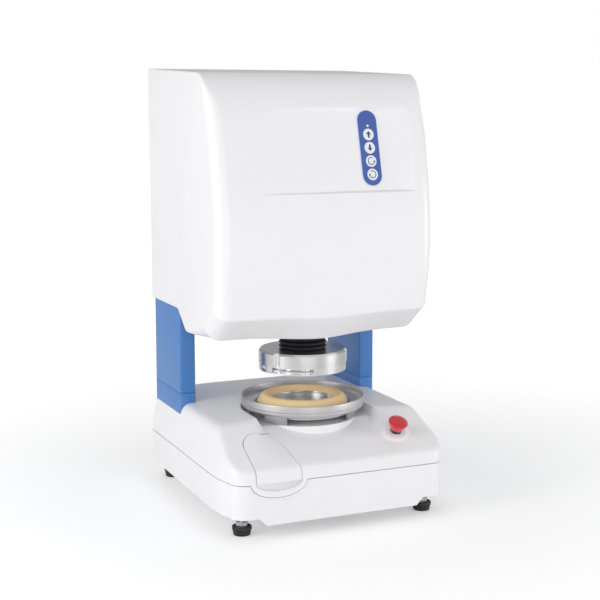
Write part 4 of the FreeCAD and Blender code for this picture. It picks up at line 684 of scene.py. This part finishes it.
def surface_net(field, low, high, step):
    """Quad mesh of a field's zero surface: one point per crossed cell, pulled onto the surface."""
    axes = [np.arange(a, b + step, step) for a, b in zip(low, high)]
    x, y = np.meshgrid(axes[0], axes[1], indexing="ij")
    values = np.stack([field(x, y, np.full(x.shape, z)) for z in axes[2]], axis=2)
    inside = values < 0
    cells = tuple(n - 1 for n in values.shape)
    total, count = np.zeros(cells + (3,)), np.zeros(cells)
    corners = [(i, j, k) for i in (0, 1) for j in (0, 1) for k in (0, 1)]

    def window(array, corner):
        return array[tuple(slice(c, c + n) for c, n in zip(corner, cells))]

    for axis in range(3):
        for corner in (c for c in corners if c[axis] == 0):
            far = tuple(c + (k == axis) for k, c in enumerate(corner))
            a, b = window(values, corner), window(values, far)
            crossed = (a < 0) != (b < 0)
            share = np.where(crossed, a / np.where(crossed, a - b, 1), 0)
            for k in range(3):
                total[..., k] += crossed * (corner[k] + (share if k == axis else 0))
            count += crossed
    active = count > 0
    index = np.full(cells, -1)
    index[active] = np.arange(active.sum())
    where = np.argwhere(active)
    points = (where + total[active] / count[active][:, None]) * step + np.array(low)
    for _ in range(3):
        px, py, pz = points.T
        here = field(px, py, pz)
        h = 0.05
        slope = np.stack([(field(px + h, py, pz) - here) / h, (field(px, py + h, pz) - here) / h,
                          (field(px, py, pz + h) - here) / h], axis=1)
        size = np.maximum((slope ** 2).sum(1), 1e-6)
        points = points - np.clip(here / size, -step / 2, step / 2)[:, None] * slope
    faces = []
    for axis in range(3):
        u, v = [k for k in range(3) if k != axis]
        near = [slice(None)] * 3
        far = [slice(None)] * 3
        near[axis], far[axis] = slice(0, -1), slice(1, None)
        flips = inside[tuple(near)] != inside[tuple(far)]
        for at in np.argwhere(flips):
            if at[u] == 0 or at[v] == 0 or at[u] >= cells[u] or at[v] >= cells[v]:
                continue
            quad = []
            for du, dv in ((0, 0), (1, 0), (1, 1), (0, 1)):
                cell = list(at)
                cell[u] -= du
                cell[v] -= dv
                quad.append(index[tuple(cell)])
            if min(quad) >= 0:
                outward = inside[tuple(at)] == (axis != 1)
                faces.append(tuple(quad) if outward else tuple(quad[::-1]))
    return points, faces


def hatch_outline(grow):
    """The hatch from above, open past the front wall, as a closed outline."""
    (x1, y1, r1), (x2, y2, r2) = HATCH_CORNERS
    corners = [(HATCH_RIGHT + grow, FRONT_Y - 6, 0), (x2 + grow, y2 + grow, r2 + grow),
               (x1 - grow, y1 + grow, r1 + grow), (HATCH_LEFT - grow, FRONT_Y - 6, 0)]
    return [tuple(p) for p in rounded(corners, 16)]


def make_cover():
    """The cover and its hatch, parted along the hatch's gap."""
    low = (-HALF_WIDTH - 6, FRONT_Y - 6, SEAM_Z - 7.5)
    high = (HALF_WIDTH + 6, REAR_Y + 6, DECK_Z + 6)
    points, faces = surface_net(cover_field, low, high, 3.0)
    block = object_from("cover_moulding", points, faces, WHITE, None)
    mesh = bmesh.new()
    mesh.from_mesh(block.data)
    everything = mesh.verts[:] + mesh.edges[:] + mesh.faces[:]
    bmesh.ops.bisect_plane(mesh, geom=everything, dist=1e-6, plane_co=(0, 0, SEAM_Z * MM),
                           plane_no=(0, 0, 1), clear_inner=True)
    mesh.to_mesh(block.data)
    mesh.free()
    thicken(block, COVER_SKIN)
    outer, inner = hatch_outline(HATCH_GAP), hatch_outline(0.0)
    gap = outer + inner[::-1]
    cut(block, prism_object("hatch_gap", gap, SEAM_Z - 4, DECK_Z + 10))
    hatch = part_off(block, "hatch_moulding", (HATCH_X, -170.0))
    frame_plate = tongue()
    finished(block, WHITE, "housing", 40.0)
    finished(hatch, WHITE, "hatch", 40.0)
    for piece in (block, frame_plate):
        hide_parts("base_cover")
    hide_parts("hatch_flap")
    ring = [(COLLAR_R, COLLAR_FOOT_Z, 0), (COLLAR_R, COLLAR_Z, 1.6), (COLLAR_BORE, COLLAR_Z, 0),
            (COLLAR_BORE, COLLAR_FOOT_Z, 0)]
    collar = lathe("cell_collar", ring, WHITE, "housing", segments=200)


def part_off(target, name, place):
    """Splits off the loose piece of a mesh that lies under a plan position."""
    mesh = bmesh.new()
    mesh.from_mesh(target.data)
    held = (v for v in mesh.verts if v.link_faces)
    seed = min(held, key=lambda v: math.hypot(v.co.x / MM - place[0], v.co.y / MM - place[1]))
    wanted, queue = {seed}, [seed]
    while queue:
        for edge in queue.pop().link_edges:
            for v in edge.verts:
                if v not in wanted:
                    wanted.add(v)
                    queue.append(v)
    rest = mesh.copy()
    keep = {v.index for v in wanted}
    rest.verts.ensure_lookup_table()
    bmesh.ops.delete(rest, geom=[v for v in rest.verts if v.index in keep], context="VERTS")
    bmesh.ops.delete(mesh, geom=[v for v in mesh.verts if v not in wanted], context="VERTS")
    data = bpy.data.meshes.new(name)
    mesh.to_mesh(data)
    rest.to_mesh(target.data)
    mesh.free()
    rest.free()
    return placed(name, data)


def bowed(half, fall, steps=40):
    """Half an oval hanging from the seam, from its right end round to its left end."""
    turns = [math.pi * k / steps for k in range(steps + 1)]
    return [(HATCH_X + half * math.cos(a), SEAM_Z - fall * math.sin(a)) for a in turns]


def band_object(name, outer, inner, front, back, body):
    """A flat band between two lines of as many points each, standing in the front wall."""
    n = len(outer)
    points = [(x, y, z) for y in (front, back) for line in (outer, inner) for x, z in line]
    faces = []
    for i in range(n - 1):
        faces.append((i, i + 1, n + i + 1, n + i))
        faces.append((2 * n + i, 3 * n + i, 3 * n + i + 1, 2 * n + i + 1))
        faces.append((i, 2 * n + i, 2 * n + i + 1, i + 1))
        faces.append((n + i, n + i + 1, 3 * n + i + 1, 3 * n + i))
    faces.append((0, n, 3 * n, 2 * n))
    faces.append((n - 1, 3 * n - 1, 4 * n - 1, 2 * n - 1))
    made = object_from(name, points, faces, WHITE, None)
    weld(made)
    return finished(made, WHITE, body)


def tongue():
    """The plate below the hatch with its finger scoop, and the pan's wall around it."""
    half = (HATCH_RIGHT - HATCH_LEFT) / 2 + HATCH_GAP
    outer = bowed(TONGUE_HALF, TONGUE_FALL)
    inner = bowed(half, SCOOP_FALL)
    plate = band_object("hatch_surround", outer, inner, FRONT_Y, FRONT_Y + 3.0, "housing")
    top = SEAM_Z - 1.4
    around = [(x, min(z, top)) for x, z in bowed(TONGUE_HALF + 0.8, TONGUE_FALL + 0.8)]
    corners = [(NOTCH_X + NOTCH_HALF, top, 0), (NOTCH_X + NOTCH_HALF, NOTCH_BOTTOM, NOTCH_R),
               (NOTCH_X - NOTCH_HALF, NOTCH_BOTTOM, NOTCH_R), (NOTCH_X - NOTCH_HALF, top, 0)]
    notch = evenly([tuple(p) for p in rounded(corners, 12)], len(around))
    band_object("pan_lip", notch, around, FRONT_Y, FRONT_Y + 3.0, "housing")
    scoop(inner)
    return plate


def evenly(line, count):
    """The same open line with a given number of evenly spaced points."""
    line = np.array(line)
    run = np.concatenate([[0.0], np.cumsum(np.hypot(*np.diff(line, axis=0).T))])
    at = np.linspace(0, run[-1], count)
    return [(float(np.interp(t, run, line[:, 0])), float(np.interp(t, run, line[:, 1]))) for t in at]


def scoop(rim):
    """Hollow for a fingertip behind the crescent under the hatch."""
    rows = 9
    points = []
    for i, (x, z) in enumerate(rim):
        bite = math.sin(math.pi * i / (len(rim) - 1)) ** 0.6
        for k in range(rows):
            a = math.pi / 2 * k / (rows - 1)
            points.append((x, FRONT_Y + 0.6 + SCOOP_DEPTH * bite * math.sin(a),
                           z + (SEAM_Z + 4.0 - z) * (1 - math.cos(a))))
    made = object_from("finger_scoop", points, grid_faces(len(rim), rows), WHITE, None)
    thicken(made, 1.2)
    finished(made, WHITE, "housing")


# Columns

def make_columns():
    """Blue column covers and boots: solid prisms with softened corners."""
    for side, word in ((-1, "left"), (1, "right")):
        corners = [(side * COLUMN_IN, COLUMN_FRONT_Y, 3.0), (side * COLUMN_OUT, COLUMN_FRONT_Y, 3.0),
                   (side * COLUMN_OUT, REAR_Y, 2.0), (side * COLUMN_IN, REAR_Y, 2.0)]
        outline = [tuple(p) for p in rounded(corners[::side], 6)]
        spans = {"column": (BOOT_TOP + BOOT_SEAM, COLUMN_TOP), "boot": (BOOT_FOOT, BOOT_TOP)}
        for part, (low, high) in spans.items():
            piece = prism_object(word + "_" + part + "_cover", outline, low, high, BLUE)
            weld(piece)
            bevelled(piece, 0.35)
            finished(piece, BLUE, "housing")
            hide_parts(word + "_" + part)


# Cell, lid and bellows

def make_cell():
    low, side, rim, top = TRAY_Z, TRAY_SIDE_R, TRAY_RIM_R, TRAY_TOP_Z
    floor = low + TRAY_FLOOR
    tray = [(TRAY_BORE_R, low, 0), (side - 3.8, low, 2), (side - 1.0, low + 2, 2), (side, low + 4.5, 1),
            (side, low + 7.5, 0.5), (rim, low + 9, 0.6), (rim, top - 1.2, 1.2), (rim - 1.0, top, 0.8),
            (rim - 2.1, top - 0.8, 0.8), (rim - 2.4, top - 2.5, 1), (rim - 2.8, top - 8.2, 2),
            (rim - 6.2, top - 11.2, 2.5), (TRAY_SEAT_R, top - 12.2, 0.8), (TRAY_SEAT_R, floor, 0.5),
            (TRAY_BORE_R, floor, 0)]
    dish = lathe("catch_dish", tray, DISH_METAL, "turntable", segments=224, steps=4)
    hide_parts("catch_tray")
    outer, inner, seat = TROUGH_OUT_R, TROUGH_IN_R, floor + 0.02
    wall = [(inner, seat, 0.4), (outer, seat, 0.4), (outer, TROUGH_OUT_Z, 0.7),
            (outer - TROUGH_WALL, TROUGH_OUT_Z, 0.7), (outer - TROUGH_WALL, floor + TROUGH_WALL, 0.5),
            (inner + TROUGH_WALL, floor + TROUGH_WALL, 0.5), (inner + TROUGH_WALL, TROUGH_IN_Z, 0.6),
            (inner, TROUGH_IN_Z, 0.6)]
    trough = lathe("trough_ring", wall, RIM_METAL, "trough", segments=224, steps=3)
    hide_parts("trough")
    make_powder(floor + TROUGH_WALL + 0.02)
    make_guard()


def make_powder(bottom):
    """Heaped powder with a crumbly crown, displaced as real relief."""
    inner, outer = TROUGH_IN_R + TROUGH_WALL + 0.15, TROUGH_OUT_R - TROUGH_WALL + 0.3
    columns, segments = 34, 420
    rng = np.random.default_rng(7)
    waves = [(rng.uniform(0, 2 * math.pi), int(k), rng.uniform(0.3, 1.0)) for k in rng.integers(3, 40, 14)]
    points = []
    for i in range(segments):
        a = 2 * math.pi * i / segments
        sway = sum(w * math.sin(k * a + p) for p, k, w in waves) / len(waves)
        for j in range(columns):
            t = j / (columns - 1)
            r = inner + (outer - inner) * t
            inward = t < POWDER_RIDGE
            side = abs(t - POWDER_RIDGE) / (POWDER_RIDGE if inward else 1 - POWDER_RIDGE)
            foot = TROUGH_IN_Z if inward else TROUGH_OUT_Z
            height = foot + (POWDER_TOP - foot) * (1 - side ** 2.4)
            height += 0.25 * sway * min(1.0, 5 * t, 5 * (1 - t))
            height += rng.normal(0, 0.12) * min(1.0, 6 * t, 6 * (1 - t))
            points.append((r * math.cos(a), SPINDLE_Y + r * math.sin(a), min(POWDER_TOP + 0.1, height)))
    faces = [f[::-1] for f in grid_faces(segments, columns, True, False)]
    made = object_from("powder_heap", points, faces, POWDER, None, sharp=180.0)
    mesh = bmesh.new()
    mesh.from_mesh(made.data)
    rims = [e for e in mesh.edges if e.is_boundary]
    skirt = bmesh.ops.extrude_edge_only(mesh, edges=rims)["geom"]
    for v in (g for g in skirt if isinstance(g, bmesh.types.BMVert)):
        v.co.z = bottom * MM
        reach = TROUGH_OUT_R - TROUGH_WALL - 0.15
        pull = min(1.0, reach * MM / math.hypot(v.co.x, v.co.y - SPINDLE_Y * MM))
        v.co.x *= pull
        v.co.y = SPINDLE_Y * MM + (v.co.y - SPINDLE_Y * MM) * pull
    bmesh.ops.bridge_loops(mesh, edges=[e for e in mesh.edges if e.is_boundary])
    bmesh.ops.recalc_face_normals(mesh, faces=mesh.faces)
    mesh.to_mesh(made.data)
    mesh.free()
    finished(made, POWDER, "trough", 70.0)
    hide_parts("powder_ring")


def arc_outline(outer, inner, start, stop, steps=24):
    turns = [math.radians(start + (stop - start) * k / steps) for k in range(steps + 1)]
    line = [(outer * math.cos(a), SPINDLE_Y + outer * math.sin(a)) for a in turns]
    return line + [(inner * math.cos(a), SPINDLE_Y + inner * math.sin(a)) for a in turns[::-1]]


def make_guard():
    """Ring under the dish that stands on four blocks, with open windows between them."""
    inside = GUARD_R - GUARD_WALL
    low = GUARD_TOP - GUARD_BAND
    band = [(GUARD_R, low, 0.3), (GUARD_R, GUARD_TOP, 0.4), (inside, GUARD_TOP, 0.4), (inside, low, 0.3)]
    pieces = [lathe("guard_band", band, GUARD_GREY, "housing", segments=200, steps=2)]
    for i, (start, stop) in enumerate(GUARD_BLOCKS):
        outline = arc_outline(GUARD_R, inside, start, stop)
        block = prism_object(f"guard_block_{i + 1}", outline, COLLAR_Z, low + 0.4, GUARD_GREY)
        bevelled(block, 0.3)
        pieces.append(finished(block, GUARD_GREY, "housing"))
    for piece in pieces:
        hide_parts("guard_ring")


# Stop button and feet

def slope_place(x, y):
    """Placement square to the sloping deck: its own upright axis stands off the slope."""
    fall = (DECK_Z - LIP_Z) / (DECK_FRONT_Y - FRONT_Y)
    out = Vector((0, -fall, 1)).normalized()
    right = Vector((1, 0, 0))
    turn = Matrix((right, out.cross(right), out)).transposed().to_4x4()
    return Matrix.Translation((x, y, slope_height(y))) @ turn


def make_stop():
    place = slope_place(STOP_X, STOP_Y)
    skirt, crown, edge = STOP_SKIRT, STOP_CROWN, STOP_HEAD_R
    bore = STOP_SLEEVE_R + 0.35
    head = [(0, crown, 0), (edge - 6, crown - 0.3, 8), (edge, crown - 2.4, 1.6),
            (edge - 0.4, crown - 4.6, 1.2), (STOP_NECK_R + 0.5, skirt + 1.2, 1.5),
            (STOP_NECK_R, skirt, 0.2), (bore, skirt, 0), (bore, skirt + 6, 0), (0, skirt + 6, 0)]
    button = lathe("stop_head", head, STOP_RED, "stop_button", place, 128, 6)
    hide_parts("stop_button")
    low, top = STOP_BOSS_H, STOP_SKIRT + 0.6
    ring = [(STOP_SLEEVE_R, low, 0.2), (STOP_SLEEVE_R, top, 0.5), (5.2, top, 0.3), (5.2, low - 14, 0),
            (7.6, low - 14, 0), (7.6, low, 0)]
    collar = lathe("stop_sleeve", ring, BLACK_RUBBER, "housing", place, 96, 4)
    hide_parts("stop_collar")


def make_feet():
    """Turned rubber pads: a slightly tapered tread, a groove, a rim and the dish round the stud."""
    for y, word in zip(FOOT_YS, ("front", "rear")):
        for x, side in ((-FOOT_X, "left"), (FOOT_X, "right")):
            pad = [(0, 0, 0), (FOOT_R - 1.2, 0, 0.8), (FOOT_R, 6.8, 0.8), (FOOT_R - 1.0, 7.6, 0.3),
                   (FOOT_R - 1.0, 8.8, 0.3), (FOOT_RIM_R, 8.9, 0.6), (FOOT_RIM_R, FOOT_H, 1.2),
                   (FOOT_DISH_R, FOOT_H, 0.6), (FOOT_DISH_R - 0.6, FOOT_H - FOOT_DISH, 0.6),
                   (STUD_R, FOOT_H - FOOT_DISH, 0), (STUD_R, FOOT_H - STUD_DEPTH, 0),
                   (0, FOOT_H - STUD_DEPTH, 0)]
            name = word + "_" + side
            place = Matrix.Translation((x, y, 0))
            made = lathe("pad_" + name, pad, FOOT_RUBBER, "foot_" + name, place, 96, 4)
            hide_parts("foot_" + name)


def make_bellows():
    """Convoluted rubber sleeve between the head and the lid."""
    low, high, folds = 259.2, 309.0, 7
    outside = []
    count = folds * 14
    for i in range(count + 1):
        t = i / count
        wave = 0.5 - 0.5 * math.cos(2 * math.pi * folds * t)
        outside.append((34.8 + 4.6 * wave ** 0.6, low + (high - low) * t, 0))
    inside = [(r - 1.2, z, 0) for r, z, _ in outside[::-1]]
    sleeve = lathe("bellows_sleeve", outside + inside, BLACK_RUBBER, None, segments=128)
    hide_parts("bellows")
    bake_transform(sleeve)


# Keypad

def pad_matrix():
    """Placement of the keypad on the sunk panel: X across, Y up the face, Z outwards."""
    centre = Vector((PAD_X, sunk_floor(PAD_X, PAD_Z), PAD_Z))
    right = Vector((1, SUNK_DEPTH / (SUNK_RIGHT - SUNK_LEFT), 0)).normalized()
    up = Vector((0, SUNK_LEAN / (SUNK_TOP - SUNK_BOTTOM), 1)).normalized()
    out = right.cross(up).normalized()
    up = out.cross(right)
    turn = Matrix((right, up, out)).transposed().to_4x4()
    return Matrix.Translation(centre) @ turn


def on_pad(name, outline, low, high, surface, body, centre=(0.0, 0.0)):
    """A flat shape laid on the keypad, given by its outline and two heights over the panel."""
    moved = [(centre[0] + u, centre[1] + v) for u, v in outline]
    made = prism_object(name, moved, low, high, surface, pad_matrix())
    weld(made)
    return finished(made, surface, body)


def arrow_outline(sign):
    """A short broad arrow that points up or down."""
    shape = [(-1.7, -5.2), (1.7, -5.2), (1.7, 0.4), (4.4, 0.4), (0.0, 5.4), (-4.4, 0.4), (-1.7, 0.4)]
    return [(u * sign, v * sign) for u, v in shape]


def turn_outline(sign):
    """Most of a ring with an arrow head, for turning one way or the other."""
    outer, inner = 6.2, 4.9
    start, stop = math.radians(60), math.radians(345)
    arc = np.linspace(start, stop, 30)
    shape = [(outer * math.cos(a), outer * math.sin(a)) for a in arc]
    a = stop
    tip = a + 0.55
    shape.append(((outer + 1.3) * math.cos(a), (outer + 1.3) * math.sin(a)))
    shape.append((5.5 * math.cos(tip), 5.5 * math.sin(tip)))
    shape.append(((inner - 1.3) * math.cos(a), (inner - 1.3) * math.sin(a)))
    shape += [(inner * math.cos(a), inner * math.sin(a)) for a in arc[::-1]]
    return shape if sign > 0 else [(-u, v) for u, v in shape[::-1]]


def make_keypad():
    border = stadium_outline(PAD_WIDTH + 2 * PAD_BORDER, PAD_LENGTH + 2 * PAD_BORDER)
    halo = on_pad("keypad_border", border, 0.0, 0.5, PAD_PALE, "housing")
    shapes = {"up": arrow_outline(1), "down": arrow_outline(-1),
              "turn_left": turn_outline(1), "turn_right": turn_outline(-1)}
    for i, (word, shape) in enumerate(shapes.items()):
        v = FIRST_KEY_UP - KEY_PITCH * i
        mark = on_pad("mark_" + word, shape, KEY_TOP, KEY_TOP + 0.12, INK, "key_" + word, (0.0, v))


# Carried-over nodes

FINISH = {
    "base_pan": PAN_WHITE, "back_panel": PAN_WHITE, "hatch_well": PAN_WHITE,
    "lid_disc": LID_STEEL, "lid_skirt": RIM_METAL, "spindle_shaft": STEEL,
    "turntable": DISH_METAL,
    "keypad_plate": PAD_BLUE, "key_up": KEY_WHITE, "key_down": KEY_WHITE, "key_turn_left": KEY_WHITE,
    "key_turn_right": KEY_WHITE, "status_lens": LENS,
    "key_board": BOARD, "turntable_gear": BRASS, "screw_nut": BRASS,
    "rail_brackets": ALUMINIUM, "carriage": ALUMINIUM, "load_cell": ALUMINIUM, "drive_frame": ALUMINIUM,
}
FINISH.update({n: STEEL for n in NODES if n.startswith("stud_")})
FINISH.update({n: DARK for n in ("power_inlet", "power_rocker", "service_plate", "stop_contacts",
                                 "stop_plunger", "bellows_collar", "lift_motor", "turntable_motor")})


def dress_nodes():
    for name, piece in NODES.items():
        piece.data.materials.clear()
        piece.data.materials.append(FINISH.get(name, STEEL))


# Stage, light and camera

def make_stage():
    """White floor that keeps the object's shadow and fades into a white surround."""
    size = FLOOR_HALF
    mesh = bpy.data.meshes.new("floor")
    corners = [(-size, -size, 0), (size, -size, 0), (size, size, 0), (-size, size, 0)]
    mesh.from_pydata(corners, [], [(0, 1, 2, 3)])
    floor = placed("floor", mesh)
    made = bpy.data.materials.new("floor_white")
    made.use_nodes = True
    tree = made.node_tree
    shader = tree.nodes["Principled BSDF"]
    shader.inputs["Base Color"].default_value = (0.92, 0.92, 0.925, 1)
    shader.inputs["Roughness"].default_value = 0.7
    shader.inputs["Emission Color"].default_value = (1, 1, 1, 1)
    place = node(tree, "ShaderNodeTexCoord")
    away = node(tree, "ShaderNodeVectorMath", operation="LENGTH")
    link(tree, place, "Object", away, 0)
    glow = node(tree, "ShaderNodeMapRange", FLOOR_GLOW)
    link(tree, away, "Value", glow, "Value")
    path = node(tree, "ShaderNodeLightPath")
    lift = node(tree, "ShaderNodeMath", operation="MULTIPLY")
    link(tree, path, "Is Camera Ray", lift, 0)
    link(tree, glow, "Result", lift, 1)
    link(tree, lift, "Value", shader, "Emission Strength")
    mesh.materials.append(made)


def height_ramp(tree, height, stops):
    """Grey level of the surround by how high a direction points."""
    ramp = node(tree, "ShaderNodeValToRGB")
    bar = ramp.color_ramp
    for at, level in stops[1:-1]:
        bar.elements.new(at)
    for element, (at, level) in zip(bar.elements, stops):
        element.position = at
        element.color = (level, level, level, 1)
    tree.links.new(height, ramp.inputs["Fac"])
    return ramp


def make_world():
    """White tent, brighter near the ground than overhead, with greyer panels for the metal to mirror."""
    world = bpy.data.worlds.new("surround")
    bpy.context.scene.world = world
    world.use_nodes = True
    tree = world.node_tree
    sky = tree.nodes["Background"]
    place = node(tree, "ShaderNodeTexCoord")
    parts = node(tree, "ShaderNodeSeparateXYZ")
    link(tree, place, "Generated", parts, "Vector")
    height = parts.outputs["Z"]
    soft = height_ramp(tree, height, SOFT_SKY)
    panels = height_ramp(tree, height, MIRRORED_SKY)
    path = node(tree, "ShaderNodeLightPath")
    seen = node(tree, "ShaderNodeMath", operation="MAXIMUM")
    link(tree, path, "Is Camera Ray", seen, 0)
    link(tree, path, "Is Transmission Ray", seen, 1)
    mirrored = node(tree, "ShaderNodeMix", data_type="RGBA")
    link(tree, path, "Is Glossy Ray", mirrored, "Factor")
    link(tree, soft, "Color", mirrored, "A")
    link(tree, panels, "Color", mirrored, "B")
    shown = node(tree, "ShaderNodeMix", data_type="RGBA")
    shown.inputs["B"].default_value = (1, 1, 1, 1)
    link(tree, seen, "Value", shown, "Factor")
    link(tree, mirrored, "Result", shown, "A")
    link(tree, shown, "Result", sky, "Color")


def area_light(name, at, aim, size, power):
    data = bpy.data.lights.new(name, "AREA")
    data.shape = "DISK"
    data.size = size
    data.energy = power
    lamp = placed(name, data)
    lamp.location = at
    lamp.rotation_euler = (Vector(aim) - Vector(at)).to_track_quat("-Z", "Y").to_euler()


def make_camera():
    data = bpy.data.cameras.new("camera")
    data.sensor_fit = "HORIZONTAL"
    data.sensor_width = SENSOR
    data.lens = CAMERA_LENS
    data.clip_end = 100.0
    made = placed("camera", data)
    made.location = [c * MM for c in CAMERA_AT]
    made.rotation_euler = [math.radians(a) for a in CAMERA_TURN]
    bpy.context.scene.camera = made


bpy.context.scene.view_settings.view_transform = "Standard"
make_camera()
make_stage()
make_world()
for lamp, settings in LAMPS.items():
    area_light(lamp, *settings)
dress_nodes()
head_shell()
make_cover()
make_columns()
make_cell()
make_bellows()
make_stop()
make_feet()
make_keypad()
